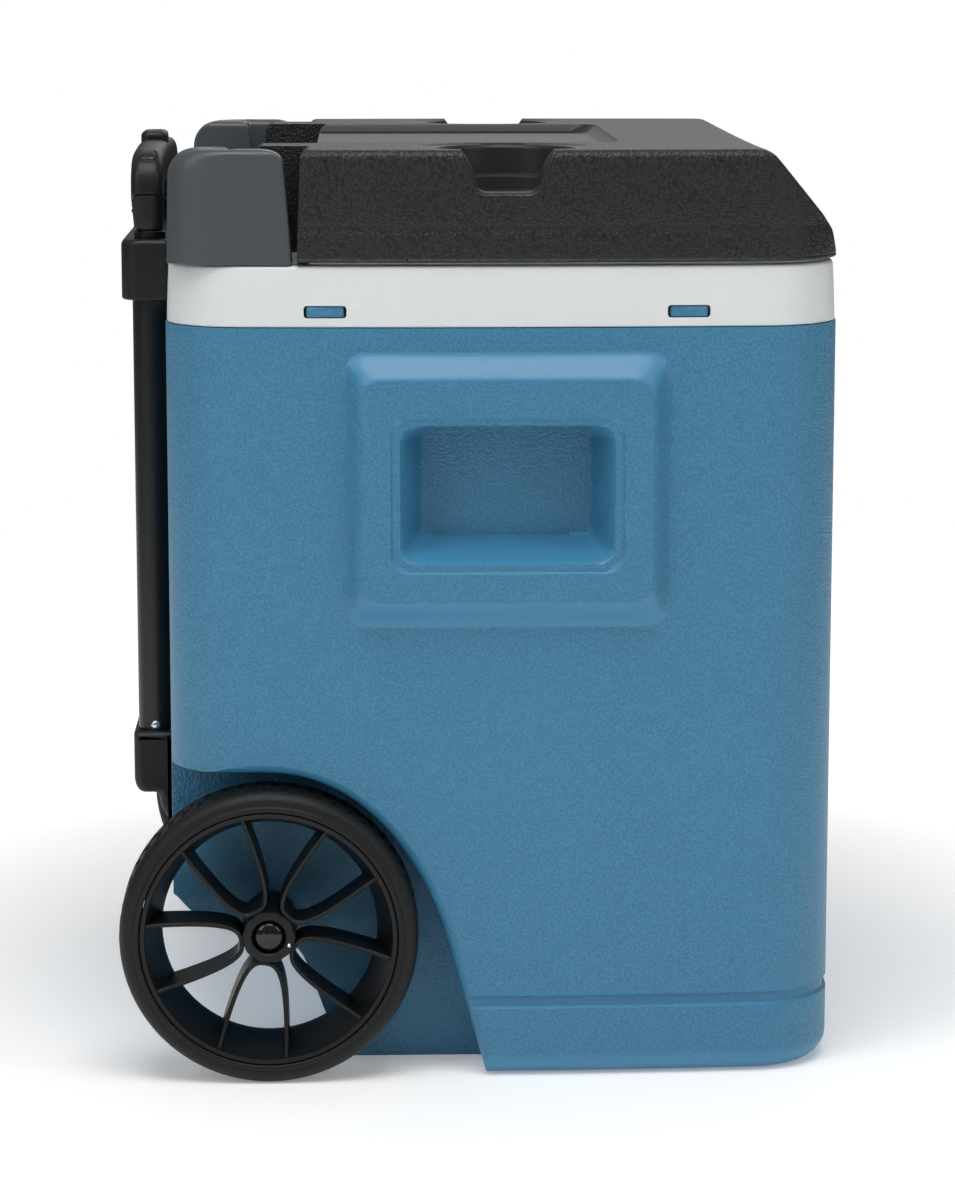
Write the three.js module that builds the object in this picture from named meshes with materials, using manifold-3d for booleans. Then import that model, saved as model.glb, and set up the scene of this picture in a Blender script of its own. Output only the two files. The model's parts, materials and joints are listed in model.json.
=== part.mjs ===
// Wheeled cooler: a foam-filled chest on two wheels, with a hinged lid and a two-stage pull handle.
// Millimetres, +Z up. The front of the chest looks along +X and the pull handle stands behind it.
// The floor is at Z = 0 and the origin is under the middle of the whole object.

import * as THREE from 'three';
import { mergeVertices } from 'three/addons/utils/BufferGeometryUtils.js';
import Module from 'manifold-3d';

const wasm = await Module();
wasm.setup();

// ------------------------------------------------------------------------------------------
// Driving dimensions
// ------------------------------------------------------------------------------------------

const GAP = 0.3; // left between two pieces that rest on each other
const SIDES = [
  { name: 'right', sign: -1 },
  { name: 'left', sign: 1 },
];

const CHEST = {
  length: 402, // shell, back to front
  width: 440, // shell, side to side at its fullest
  height: 451, // top edge of the shell
  corner: 45, // plan radius of the four corners
  sideBow: 8, // swelling of each side past its corners
  frontBow: 5,
  foot: 16, // radius of the lower edge
  wall: 3,
  groove: { bottom: 43, height: 7, depth: 2 },
};

const COLLAR = { height: 36, inset: 0.8, draft: 1.4, wall: 3, foamInset: 6 };
const WINDOW = { spacing: 212, width: 25, height: 7.3, sill: 5.7 };

const TUB = {
  sideFoam: 33, // shell side to tub side
  endFoam: 30,
  rearFoam: 32,
  floor: 46,
  floorEdge: 8,
  frontCorner: 30,
  rearCorner: 72,
  humpAboveWell: 39,
  humpBeforeWell: 24,
};

const FRAME = { // raised frame round each hand pocket
  base: { width: 192, height: 161.4, below: 14.6 }, // top edge below the top of the shell
  face: { width: 170.1, height: 130.9, below: 29.7 },
  proud: 10,
};
const POCKET = { width: 124.8, height: 78.3, below: 59, depth: 34, draft: 12 };

const WHEEL = {
  radius: 89,
  tyre: 12, // rubber thickness
  width: 42,
  proud: 12, // outer face of the wheel past the side of the chest
  behind: 29.8, // rearmost point of the wheel past the rear of the chest
  inboard: 19, // inner face of the wheel to the wall of its well
  segments: 30,
};
const WELL = { clearance: 8, reach: 18, foot: 41, drop: 6.5, roundness: 0.514 };
const AXLE = { radius: 5, play: 0.6 };
const HUB = { radius: 16, recess: 10.2, recessDepth: 8, face: 6, bore: 5.3 };
const SPOKE = { pairs: 5, thickness: 2.8, crown: 16.4, halfAngle: 16, front: 8, back: 34, tilt: -27.8 };

const LID = {
  slot: 2, // between the collar and the lid
  height: 65,
  inset: 0.3,
  wall: 3,
  edge: 4,
  bevelRun: 44.5, // front edge of the top to the front of the chest
  bevelDrop: 46.2,
  bevelNose: 4.3,
  wingRear: 78, // wings start this far in front of the chest's rear
  wingSlant: 3,
  shoulderRear: 53,
  baseRear: 14,
  baseTop: 31,
  cutBeside: 25, // room beside the grip of the pull handle
  cutFront: 89,
  trayBeside: 13, // land between the tray and each cup holder
  trayDepth: 5.4,
  trayFront: 63,
  trayRamp: 9,
};
const CUP = { radius: 40, ledge: 4, step: 19, depth: 30, beside: 7 };
const NOTCH = { top: 50, bottom: 29, depth: 24.5 };
const PLUG = { depth: 14, clearance: 4, wall: 3, flange: 4.2, flangeInset: 5 };

const HINGE = { fromRear: 30, above: 34.5, pin: 4, play: 0.4, knuckle: 12 };
const COVER = {
  rear: 2,
  front: 76,
  topFront: 70.5,
  inset: 2.2,
  wall: 3,
  innerInset: 49, // inner face to the side of the chest
  slit: 2, // between the inner face and the lid
  innerDepth: 24,
  innerFront: 55,
  innerSlant: 16,
  round: 10,
};

const HANDLE = {
  spacing: 190, // between the two legs
  stand: 1.6, // from the chest to the outer tube
  wall: 1.2,
  play: 0.3,
  outer: 11, // radius of the outer tube; the other two nest in it
  sunk: 4.5, // outer tube's lower end above the underside of the lower bracket
  outerRise: 3, // its upper end above the collar
  middleLift: 33.5, // lower ends above the outer tube's
  innerLift: 53.5,
  middleRise: 9.5,
  foot: 10,
};
const BRACKET = {
  behind: 6.1, // rear face of the upper bracket behind its tubes
  shallower: 3.6, // lower bracket's depth less than the upper one's
  overhang: 6, // ends of the brackets past their tubes
  upperBelow: 29, // foot of the upper bracket below the top of the collar
  upperHeight: 37,
  lowerBottom: 152,
  lowerHeight: 39,
  tail: 22,
  tailDepth: 10.7,
};
const GRIP = {
  below: 3, // top of the grip below the top of the lid
  bar: 27, // heights measured down from its top
  sleeve: 51,
  socket: 21,
  legHalf: 12,
  thickness: 20,
  set: 1, // centre of the grip behind the centre of the legs
};
const BUTTON = { width: 34, depth: 16, proud: 5, travel: 4, play: 0.3 };
const RELEASE = { below: 14.4, height: 7, depth: 7, past: 3 };
const ROD = { radius: 2.5, lift: 5 };

const SCREW = { shank: 2, head: 4.5, headHeight: 3, intoCollar: 2.3, intoShell: 1.9, sink: 6 };
const DRAIN = { fromFront: 86, height: 68, bore: 7, neck: 10, flange: 15.5, nut: 13, cap: 13.5 };

// ------------------------------------------------------------------------------------------
// Places worked out from them
// ------------------------------------------------------------------------------------------

const handleBehind = HANDLE.outer + HANDLE.stand; // axis of the legs behind the chest
const middleRadius = HANDLE.outer - HANDLE.wall - HANDLE.play;
const innerRadius = middleRadius - HANDLE.wall - HANDLE.play;
const bracketDepth = handleBehind + HANDLE.outer + BRACKET.behind;
const lowerDepth = bracketDepth - BRACKET.shallower;

const frontX = (CHEST.length + bracketDepth + GAP) / 2;
const rearX = frontX - CHEST.length;
const midX = (frontX + rearX) / 2;
const sideY = CHEST.width / 2;
const outlineHalfX = (CHEST.length - CHEST.frontBow) / 2;
const outlineMidX = rearX + outlineHalfX;

const collarTop = CHEST.height + COLLAR.height;
const lidBottom = collarTop + LID.slot;
const lidTop = lidBottom + LID.height;
const hingeX = rearX + HINGE.fromRear;
const hingeZ = collarTop + HINGE.above;

const axleX = rearX - WHEEL.behind + WHEEL.radius;
const axleZ = WHEEL.radius;
const wheelY = sideY + WHEEL.proud;
const wellY = wheelY - WHEEL.width - WHEEL.inboard;
const wellTop = axleZ + WHEEL.radius + WELL.clearance;
const wellFootX = axleX + WHEEL.radius + WELL.foot;

const tubFrontX = frontX - TUB.endFoam;
const tubRearX = rearX + TUB.rearFoam;
const tubY = sideY - TUB.sideFoam;
const humpX = wellFootX + TUB.humpBeforeWell;
const humpFloor = wellTop + TUB.humpAboveWell;

const coverInnerY = sideY - COVER.innerInset;
const shoulderHalf = coverInnerY - COVER.slit; // half width of the lid between the covers
const legY = HANDLE.spacing / 2;
const legX = rearX - handleBehind;
const gripX = legX - GRIP.set;
const bracketHalf = legY + HANDLE.outer + BRACKET.overhang;
const upperBottom = collarTop - BRACKET.upperBelow;
const upperTop = upperBottom + BRACKET.upperHeight;
const lowerTop = BRACKET.lowerBottom + BRACKET.lowerHeight;
const outerBottom = BRACKET.lowerBottom + HANDLE.sunk;
const outerTop = collarTop + HANDLE.outerRise;
const middleBottom = outerBottom + HANDLE.middleLift;
const middleTop = outerTop + HANDLE.middleRise;
const innerBottom = outerBottom + HANDLE.innerLift;
const gripTop = lidTop - GRIP.below;
const gripUnderside = gripTop - GRIP.bar;
const sleeveBottom = gripTop - GRIP.sleeve;
const innerTop = gripTop - GRIP.socket;
const releaseBottom = gripTop - RELEASE.below;
const releaseHalf = legY + RELEASE.past;

const cutHalf = legY + GRIP.legHalf + LID.cutBeside;
const cupY = sideY - CUP.beside - CUP.radius;
const trayHalf = cupY - CUP.radius - LID.trayBeside;
const drainX = frontX - DRAIN.fromFront;

// ------------------------------------------------------------------------------------------
// Solids
// ------------------------------------------------------------------------------------------

// A shape is drawn in a plane and then carried along the axis that its name gives.
const FACING = {
  x: new THREE.Matrix4().makeBasis(
    new THREE.Vector3(0, 1, 0), new THREE.Vector3(0, 0, 1), new THREE.Vector3(1, 0, 0)),
  y: new THREE.Matrix4().makeBasis(
    new THREE.Vector3(1, 0, 0), new THREE.Vector3(0, 0, 1), new THREE.Vector3(0, -1, 0)),
  z: new THREE.Matrix4(),
};

function solidOf(geometry) {
  const bare = geometry.clone();
  bare.deleteAttribute('normal');
  bare.deleteAttribute('uv');
  const merged = mergeVertices(bare, 1e-4);
  const corners = [];
  for (let i = 0; i < merged.index.count; i += 3) {
    const [a, b, c] = [0, 1, 2].map((k) => merged.index.getX(i + k));
    if (a !== b && b !== c && c !== a) corners.push(a, b, c);
  }
  return new wasm.Manifold(new wasm.Mesh({
    numProp: 3,
    vertProperties: new Float32Array(merged.attributes.position.array),
    triVerts: new Uint32Array(corners),
  }));
}

function geometryOf(solid) {
  const mesh = solid.getMesh();
  const geometry = new THREE.BufferGeometry();
  geometry.setAttribute('position', new THREE.BufferAttribute(mesh.vertProperties, 3));
  geometry.setIndex(new THREE.BufferAttribute(mesh.triVerts, 1));
  return geometry;
}

// Prism of an outline along an axis between two places, with its end edges rounded by `edge`.
function prismGeometry(axis, outline, from, to, edge = 0, segments = 3) {
  const shape = new THREE.Shape(outline.map(([a, b]) => new THREE.Vector2(a, b)));
  const geometry = new THREE.ExtrudeGeometry(shape, {
    depth: to - from - 2 * edge,
    bevelEnabled: edge > 0,
    bevelThickness: edge,
    bevelSize: edge,
    bevelOffset: -edge,
    bevelSegments: segments,
    steps: 1,
  });
  geometry.translate(0, 0, edge + (axis === 'y' ? -to : from));
  return geometry.applyMatrix4(FACING[axis]);
}

const prism = (...args) => solidOf(prismGeometry(...args));

const rectangle = (a0, a1, b0, b1) => [[a0, b0], [a1, b0], [a1, b1], [a0, b1]];

const block = (x0, x1, y0, y1, z0, z1) => prism('z', rectangle(x0, x1, y0, y1), z0, z1);

// The same block on one side of the chest: its Y range is measured outwards from the middle.
function sideBlock(side, x0, x1, inner, outer, z0, z1) {
  const ys = [inner * side.sign, outer * side.sign].sort((a, b) => a - b);
  return block(x0, x1, ys[0], ys[1], z0, z1);
}

function sidePrism(side, outline, inner, outer, edge = 0) {
  const ys = [inner * side.sign, outer * side.sign].sort((a, b) => a - b);
  return prism('y', outline, ys[0], ys[1], edge);
}

// Turned piece round the Y axis: [radius, place along the axis] pairs, closed on itself or on the axis.
function turnedGeometry(profile, segments = 16) {
  const points = profile.map(([radius, along]) => new THREE.Vector2(radius, along));
  if (THREE.ShapeUtils.isClockWise(points)) points.reverse();
  const first = points[0];
  const last = points[points.length - 1];
  if (first.x !== 0 || last.x !== 0) points.push(first.clone());
  return new THREE.LatheGeometry(points, segments);
}

const TURN_TO = {
  x: new THREE.Matrix4().makeRotationZ(-Math.PI / 2),
  y: new THREE.Matrix4(),
  z: new THREE.Matrix4().makeRotationX(Math.PI / 2),
};

function turned(axis, profile, [x, y, z], segments) {
  return solidOf(turnedGeometry(profile, segments).applyMatrix4(TURN_TO[axis]).translate(x, y, z));
}

// Round bar or bore along an axis through a point, between two places on that axis.
function bar(axis, radius, from, to, [x, y, z], segments = 12) {
  const profile = [[0, from], [radius, from], [radius, to], [0, to]];
  const centre = { x: [0, y, z], y: [x, 0, z], z: [x, y, 0] }[axis];
  return turned(axis, profile, centre, segments);
}

function pipe(axis, outer, inner, from, to, [x, y, z], segments = 16) {
  const profile = [[inner, from], [outer, from], [outer, to], [inner, to]];
  const centre = { x: [0, y, z], y: [x, 0, z], z: [x, y, 0] }[axis];
  return turned(axis, profile, centre, segments);
}

const joined = (first, ...others) => others.reduce((sum, other) => sum.add(other), first);
const without = (first, ...cuts) => cuts.reduce((left, cut) => left.subtract(cut), first);

// ------------------------------------------------------------------------------------------
// Outlines
// ------------------------------------------------------------------------------------------

// Rectangle about its middle with a radius for each corner, in the order front left, rear left,
// rear right, front right. Its straight sides are divided so that they can be bowed afterwards.
function roundedRectangle(halfX, halfY, radii, cornerSteps = 4, sideSteps = 1) {
  const signs = [[1, 1], [-1, 1], [-1, -1], [1, -1]];
  const corners = signs.map(([sx, sy], quarter) => {
    const radius = radii[quarter];
    return Array.from({ length: cornerSteps + 1 }, (_, step) => {
      const angle = (quarter + step / cornerSteps) * Math.PI / 2;
      return [
        sx * (halfX - radius) + radius * Math.cos(angle),
        sy * (halfY - radius) + radius * Math.sin(angle),
      ];
    });
  });
  return corners.flatMap((corner, quarter) => {
    const start = corner[cornerSteps];
    const end = corners[(quarter + 1) % 4][0];
    const side = Array.from({ length: sideSteps - 1 }, (_, k) => {
      const share = (k + 1) / sideSteps;
      return [start[0] + share * (end[0] - start[0]), start[1] + share * (end[1] - start[1])];
    });
    return [...corner, ...side];
  });
}

const moved = (outline, dx, dy) => outline.map(([x, y]) => [x + dx, y + dy]);

// Plan of the chest, drawn in by `inset`: a rounded rectangle whose sides and front swell.
function chestOutline(inset = 0) {
  const halfX = outlineHalfX - inset;
  const halfY = sideY - CHEST.sideBow - inset;
  const radius = CHEST.corner - inset;
  return roundedRectangle(halfX, halfY, Array(4).fill(radius), 4, 4).map(([x, y]) => {
    const u = x / halfX;
    const v = y / halfY;
    const swollenX = x + CHEST.frontBow * (1 - v * v) * Math.max(0, u) ** 2;
    const swollenY = y + CHEST.sideBow * (1 - u * u) * v;
    return [outlineMidX + swollenX, swollenY];
  });
}

// Distance from the middle to the side of the chest at one place along it.
function sideAt(x) {
  const u = (x - outlineMidX) / outlineHalfX;
  return sideY - CHEST.sideBow * u * u;
}

// ------------------------------------------------------------------------------------------
// Chest: shell, foam and liner are cut from the same volumes, drawn in or out by their walls
// ------------------------------------------------------------------------------------------

// Side view of a wheel well: flat from the rear, round over the wheel, then down to the floor.
function wellProfile(grow) {
  const reach = axleX + WHEEL.radius + WELL.reach + grow;
  const foot = wellFootX + grow;
  const bend = WELL.roundness * (WHEEL.radius + WELL.reach);
  const turn = new THREE.CubicBezierCurve(
    new THREE.Vector2(axleX, wellTop + grow),
    new THREE.Vector2(axleX + bend, wellTop + grow),
    new THREE.Vector2(reach - bend * 0.27, axleZ - WELL.drop + bend * 0.96),
    new THREE.Vector2(reach, axleZ - WELL.drop),
  );
  const round = turn.getPoints(7).map((point) => [point.x, point.y]);
  return [[rearX - 40, -40], [rearX - 40, wellTop + grow], ...round, [foot + (foot - reach) / 2, -40]];
}

// Side view of the space under the rear of the chest, between the two wells.
function undercutProfile(grow) {
  const shift = grow * 0.8;
  return moved([
    [rearX - 40, -40],
    [rearX - 40, axleZ + 15],
    [rearX - shift, axleZ + 15],
    [rearX + 14, axleZ - 1],
    [axleX + 16.8, axleZ - 17],
    [axleX + 34.8, 22],
    [axleX + 48.8, 0],
    [axleX + 74, -40],
  ], shift, shift);
}

// Block whose section goes evenly from one rectangle to another as it leaves the middle.
function taperedBlock(side, base, tip, inner, outer) {
  const corner = 12 / base.halfX;
  const radii = Array(4).fill(corner);
  const unit = roundedRectangle(1, base.halfZ / base.halfX, radii, 3);
  const geometry = prismGeometry('y', unit, 0, 1);
  const place = geometry.attributes.position;
  for (let i = 0; i < place.count; i += 1) {
    const share = place.getY(i);
    const u = place.getX(i);
    const w = place.getZ(i) * base.halfX / base.halfZ;
    const mix = (from, to) => from + share * (to - from);
    place.setXYZ(
      i,
      mix(base.x, tip.x) + u * mix(base.halfX, tip.halfX),
      side.sign * mix(inner, outer),
      mix(base.z, tip.z) + w * mix(base.halfZ, tip.halfZ),
    );
  }
  if (side.sign < 0) {
    for (let i = 0; i < place.count; i += 3) {
      const [x, y, z] = [place.getX(i), place.getY(i), place.getZ(i)];
      place.setXYZ(i, place.getX(i + 1), place.getY(i + 1), place.getZ(i + 1));
      place.setXYZ(i + 1, x, y, z);
    }
  }
  return solidOf(geometry);
}

// The rectangle that a tapered block would have at another distance from the middle.
function carried(base, tip, share) {
  const mix = (key) => base[key] + share * (tip[key] - base[key]);
  return { x: mix('x'), z: mix('z'), halfX: mix('halfX'), halfZ: mix('halfZ') };
}

function panel({ width, height, below }, grow = 0) {
  const z = CHEST.height - below - height / 2;
  return { x: midX, z, halfX: width / 2 + grow, halfZ: height / 2 + grow };
}

function handleFrame(side, inset) {
  const foot = panel(FRAME.base, -inset);
  const face = panel(FRAME.face, -inset);
  const faceY = sideY + FRAME.proud - inset;
  const footY = sideY - 1 - inset;
  const root = 12; // how far the frame reaches into the chest
  const rootShare = -root / (faceY - footY);
  return taperedBlock(side, carried(foot, face, rootShare), face, footY - root, faceY);
}

function handPocket(side, grow) {
  const mouth = panel(POCKET, grow);
  const floor = {
    x: midX,
    z: mouth.z + POCKET.draft / 2,
    halfX: mouth.halfX - POCKET.draft,
    halfZ: mouth.halfZ - POCKET.draft / 2,
  };
  const mouthY = sideY + FRAME.proud;
  const floorY = mouthY - POCKET.depth - grow;
  const past = 4;
  const wide = carried(floor, mouth, (mouthY + past - floorY) / (mouthY - floorY));
  return taperedBlock(side, floor, wide, floorY, mouthY + past);
}

function axleTunnel(grow) {
  const radius = AXLE.radius + AXLE.play + grow;
  const tunnel = bar('y', radius, -wellY - 5, wellY + 5, [axleX, 0, axleZ], 12);
  if (grow === 0) return tunnel;
  return tunnel.add(block(axleX - radius, axleX + radius, -wellY, wellY, axleZ - 40, axleZ));
}

// Everything that the shell holds, drawn in by `inset`; its top stands open past the shell.
function chestVolume(inset) {
  const edge = CHEST.foot - inset;
  let volume = prism('z', chestOutline(inset), inset, CHEST.height + edge + 5, edge, 2);
  SIDES.forEach((side) => {
    volume = volume.add(handleFrame(side, inset));
  });
  volume = volume.subtract(prism('y', undercutProfile(inset), -sideY, sideY));
  SIDES.forEach((side) => {
    volume = volume.subtract(sidePrism(side, wellProfile(inset), wellY - inset, sideY + 30));
    volume = volume.subtract(handPocket(side, inset));
  });
  return volume.subtract(axleTunnel(inset));
}

const above = (z) => block(-1000, 1000, -1000, 1000, z, z + 1000);

function footGroove() {
  const { bottom, height, depth } = CHEST.groove;
  const outside = prism('z', chestOutline(-5), bottom, bottom + height);
  return outside.subtract(prism('z', chestOutline(depth), bottom - 1, bottom + height + 1));
}

const windowXs = [midX - WINDOW.spacing / 2, midX + WINDOW.spacing / 2];
const windowPlaces = SIDES.flatMap((side) => windowXs.map((x) => ({ side, x })));
const windowBottom = CHEST.height + WINDOW.sill;
const windowTop = windowBottom + WINDOW.height;
const tab = { thickness: 2.5, play: 0.4, root: 9, chord: 0.5 };

// Snap tab of the shell: it stands inside the collar and its hook looks out of a window.
function snapTab({ side, x }) {
  const half = WINDOW.width / 2 - 4 * tab.play;
  const narrowest = Math.min(sideAt(x - half), sideAt(x + half)) - tab.chord;
  const skirt = narrowest - COLLAR.inset - COLLAR.draft - COLLAR.wall - 2 * GAP;
  const stem = sideBlock(
    side, x - half, x + half, skirt - tab.thickness, skirt, CHEST.height - tab.root, windowTop - tab.play);
  const root = sideBlock(
    side, x - half, x + half, skirt - tab.thickness, sideAt(x) - 1,
    CHEST.height - tab.root, CHEST.height - tab.root + 4);
  const hook = sideBlock(
    side, x - half, x + half, skirt - 1, sideAt(x) - COLLAR.inset - 1,
    windowBottom + tab.play, windowTop - tab.play);
  return joined(stem, root, hook);
}

function snapTabRoom({ side, x }) {
  const half = WINDOW.width / 2;
  return sideBlock(
    side, x - half, x + half, sideAt(x) - 12, sideAt(x), CHEST.height - tab.root - 1, windowTop + 1);
}

// Tub that holds the food and ice: full depth at the front, a raised floor over the wheels.
function tubVolume(grow, top) {
  const edge = TUB.floorEdge + grow;
  const halfY = tubY + grow;
  const part = (x0, x1, rear, floor) => {
    const front = TUB.frontCorner + grow;
    const radii = [front, rear + grow, rear + grow, front];
    const outline = roundedRectangle((x1 - x0) / 2 + grow, halfY, radii, 4);
    return prism('z', moved(outline, (x0 + x1) / 2, 0), floor - grow, top + edge, edge, 2);
  };
  const deep = part(humpX, tubFrontX, TUB.frontCorner, TUB.floor);
  const shallow = part(tubRearX, tubFrontX, TUB.rearCorner, humpFloor);
  return deep.add(shallow).subtract(above(top));
}

const drainY = sideAt(drainX);

function drainPad() {
  const centre = [drainX, 0, DRAIN.height];
  return bar('y', DRAIN.flange + 3, drainY - 12, drainY + 1, centre, 16);
}

const drainBore = (radius, from, to) => bar('y', radius, from, to, [drainX, 0, DRAIN.height]);

// Screws through the two handle brackets: [Y, Z] of each, and how its head is sunk.
const screwPlaces = [
  ...[-70, -35, 35, 70].map((y) => ({ y, z: (upperBottom + upperTop) / 2 - 2, upper: true })),
  ...[-60, 60].map((y) => ({ y, z: (BRACKET.lowerBottom + lowerTop) / 2, upper: false })),
];
const screwHeadX = ({ upper }) => rearX - (upper ? bracketDepth : lowerDepth) + SCREW.sink;
const screwTipX = ({ upper }) => rearX + (upper ? SCREW.intoCollar : SCREW.intoShell);

function screwBore(place, radius) {
  return bar('x', radius, rearX - bracketDepth - 5, screwTipX(place) + 1, [0, place.y, place.z], 8);
}

function bodyShell() {
  const outer = chestVolume(0).subtract(above(CHEST.height));
  const cavity = chestVolume(CHEST.wall);
  const shell = without(outer.add(drainPad()), cavity, footGroove());
  const drain = drainBore(DRAIN.neck + GAP, drainY - 40, drainY + 40);
  const bores = screwPlaces.map((place) => screwBore(place, SCREW.shank + GAP));
  return without(joined(shell, ...windowPlaces.map(snapTab)), drain, ...bores);
}

function linerTub() {
  const from = CHEST.height + GAP;
  const rim = prismGeometry('z', chestOutline(COLLAR.inset), from, collarTop);
  const place = rim.attributes.position;
  for (let i = 0; i < place.count; i += 1) {
    const lean = COLLAR.draft * (place.getZ(i) - from) / COLLAR.height;
    const x = outlineMidX + (place.getX(i) - outlineMidX) * (1 - lean / outlineHalfX);
    place.setXY(i, x, place.getY(i) * (1 - lean / sideY));
  }
  const inside = COLLAR.inset + COLLAR.draft + COLLAR.wall;
  const hollow = prism('z', chestOutline(inside), from - 10, collarTop - COLLAR.wall);
  const collar = solidOf(rim).subtract(hollow);
  const tub = tubVolume(CHEST.wall, collarTop - 1);
  const windowHalf = WINDOW.width / 2;
  const windows = windowPlaces.map(({ side, x }) => sideBlock(
    side, x - windowHalf, x + windowHalf, sideAt(x) - 10, sideAt(x) + 5, windowBottom, windowTop));
  const upperScrews = screwPlaces.filter(({ upper }) => upper);
  const bores = upperScrews.map((screw) => screwBore(screw, SCREW.shank + GAP));
  const drain = drainBore(DRAIN.neck + GAP, tubY - 5, tubY + 5);
  return without(collar.add(tub), tubVolume(0, collarTop + 5), drain, ...windows, ...bores);
}

function insulationCore() {
  const lower = chestVolume(CHEST.wall + GAP).subtract(above(CHEST.height));
  const foamTop = collarTop - COLLAR.wall - GAP;
  const upper = prism('z', chestOutline(COLLAR.foamInset), CHEST.height - 20, foamTop);
  const tub = tubVolume(CHEST.wall + GAP, collarTop + 5);
  const bores = screwPlaces.map((place) => screwBore(place, SCREW.shank + 3 * GAP));
  const drain = drainBore(DRAIN.neck + 1, tubY, drainY + 5);
  return without(lower.add(upper), tub, drain, ...windowPlaces.map(snapTabRoom), ...bores);
}

// ------------------------------------------------------------------------------------------
// Lid
// ------------------------------------------------------------------------------------------

// Front of the lid in side view, from its lower lip up over the bevel to the top.
function lidNose(inset, bottom) {
  return [
    [frontX - LID.inset - inset, bottom],
    [frontX - LID.bevelNose - inset, lidTop - LID.bevelDrop - 0.4 * inset],
    [frontX - LID.bevelRun - 0.7 * inset, lidTop - 2.5 - 0.7 * inset],
    [frontX - LID.bevelRun - 3.5 - 0.4 * inset, lidTop - inset],
  ];
}

function roundedRear(x, inset) {
  const top = lidTop - inset;
  const radius = 6;
  const middle = radius * (1 - Math.SQRT1_2);
  return [[x + inset + radius, top], [x + inset + middle, top - middle], [x + inset, top - radius]];
}

function wingProfile(inset, bottom) {
  const rear = rearX + LID.wingRear;
  const nose = lidNose(inset, bottom);
  return [[rear + inset, bottom], ...nose, ...roundedRear(rear + LID.wingSlant, inset)];
}

function centreProfile(inset, bottom) {
  const shoulder = rearX + LID.shoulderRear;
  const top = [...lidNose(inset, bottom), ...roundedRear(shoulder, inset)];
  if (inset > 0) return [...top, [shoulder + inset, bottom]];
  const baseX = rearX + LID.baseRear;
  const baseTop = lidBottom + LID.baseTop;
  const radius = hingeZ - lidBottom;
  const arc = [0.9, 0.6, 0.3, 0].map((share) => {
    const x = hingeX + share * (baseX - hingeX);
    return [x, hingeZ - Math.sqrt(radius ** 2 - (x - hingeX) ** 2)];
  });
  return [...top, [shoulder, baseTop], [baseX + 6, baseTop], [baseX, baseTop - 6],
    [baseX, hingeZ - Math.sqrt(radius ** 2 - (baseX - hingeX) ** 2)], ...arc];
}


function cupHolder(side, grow) {
  const floor = lidTop - CUP.depth - grow;
  const step = lidTop - CUP.step - grow;
  const lower = CUP.radius - CUP.ledge + grow;
  const profile = [
    [0, floor],
    [lower, floor],
    [lower, step],
    [CUP.radius + grow, step],
    [CUP.radius + grow, lidTop + 5],
    [0, lidTop + 5],
  ];
  return turned('z', profile, [midX, side.sign * cupY, 0], 24);
}

function mugNotch(side, grow) {
  const bottom = lidTop - NOTCH.depth - grow;
  const half = (share) => grow + (NOTCH.bottom + share * (NOTCH.top - NOTCH.bottom)) / 2;
  const over = 4;
  const topHalf = half(1 + (over + grow) / NOTCH.depth);
  const outline = [
    [midX - half(0) + 4, bottom],
    [midX + half(0) - 4, bottom],
    [midX + half(0.06), bottom + 3],
    [midX + topHalf, lidTop + over],
    [midX - topHalf, lidTop + over],
    [midX - half(0.06), bottom + 3],
  ];
  return sidePrism(side, outline, cupY, sideY + 10);
}

function lidTray(grow) {
  const floor = lidTop - LID.trayDepth - grow;
  const rear = rearX + LID.cutFront - 20;
  const front = midX + LID.trayFront;
  const outline = [
    [rear, floor],
    [front, floor],
    [front + LID.trayRamp, lidTop],
    [front + LID.trayRamp, lidTop + 5],
    [rear, lidTop + 5],
  ];
  return prism('y', outline, -trayHalf - grow, trayHalf + grow);
}

function lidVolume(inset) {
  const open = 8;
  const bottom = inset > 0 ? lidBottom - open : lidBottom;
  const edge = Math.max(LID.edge - inset, 1);
  const plan = prism(
    'z', chestOutline(LID.inset + inset), lidBottom - open - edge, lidTop - inset, edge, 1);
  const wings = prism('y', wingProfile(inset, bottom), -sideY - 5, sideY + 5);
  const centreHalf = shoulderHalf - inset;
  const centre = prism('y', centreProfile(inset, bottom), -centreHalf, centreHalf);
  const cut = block(
    rearX - 20, rearX + LID.cutFront + inset, -cutHalf - inset, cutHalf + inset,
    lidBottom + LID.baseTop - inset, lidTop + 5);
  const cups = SIDES.flatMap((side) => [cupHolder(side, inset), mugNotch(side, inset)]);
  return without(wings.add(centre).intersect(plan), cut, lidTray(inset), ...cups);
}

function knuckle(side) {
  const ys = [cutHalf, shoulderHalf].map((y) => y * side.sign).sort((a, b) => a - b);
  return bar('y', HINGE.knuckle, ys[0], ys[1], [hingeX, 0, hingeZ], 16);
}

const pinInner = shoulderHalf - 20;
const pinOuter = coverInnerY + 21;

function alongPin(side, radius, inner, outer) {
  const ys = [inner * side.sign, outer * side.sign].sort((a, b) => a - b);
  return bar('y', radius, ys[0], ys[1], [hingeX, 0, hingeZ]);
}

function lidShell() {
  const outer = joined(lidVolume(0), ...SIDES.map(knuckle));
  const bores = SIDES.map((side) => alongPin(side, HINGE.pin + HINGE.play, pinInner - 1, shoulderHalf + 5));
  return without(outer, lidVolume(LID.wall), ...bores);
}

const panTop = lidBottom - GAP;
const flangeTop = collarTop + GAP + PLUG.flange;
const panBottom = collarTop - PLUG.depth;

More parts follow.
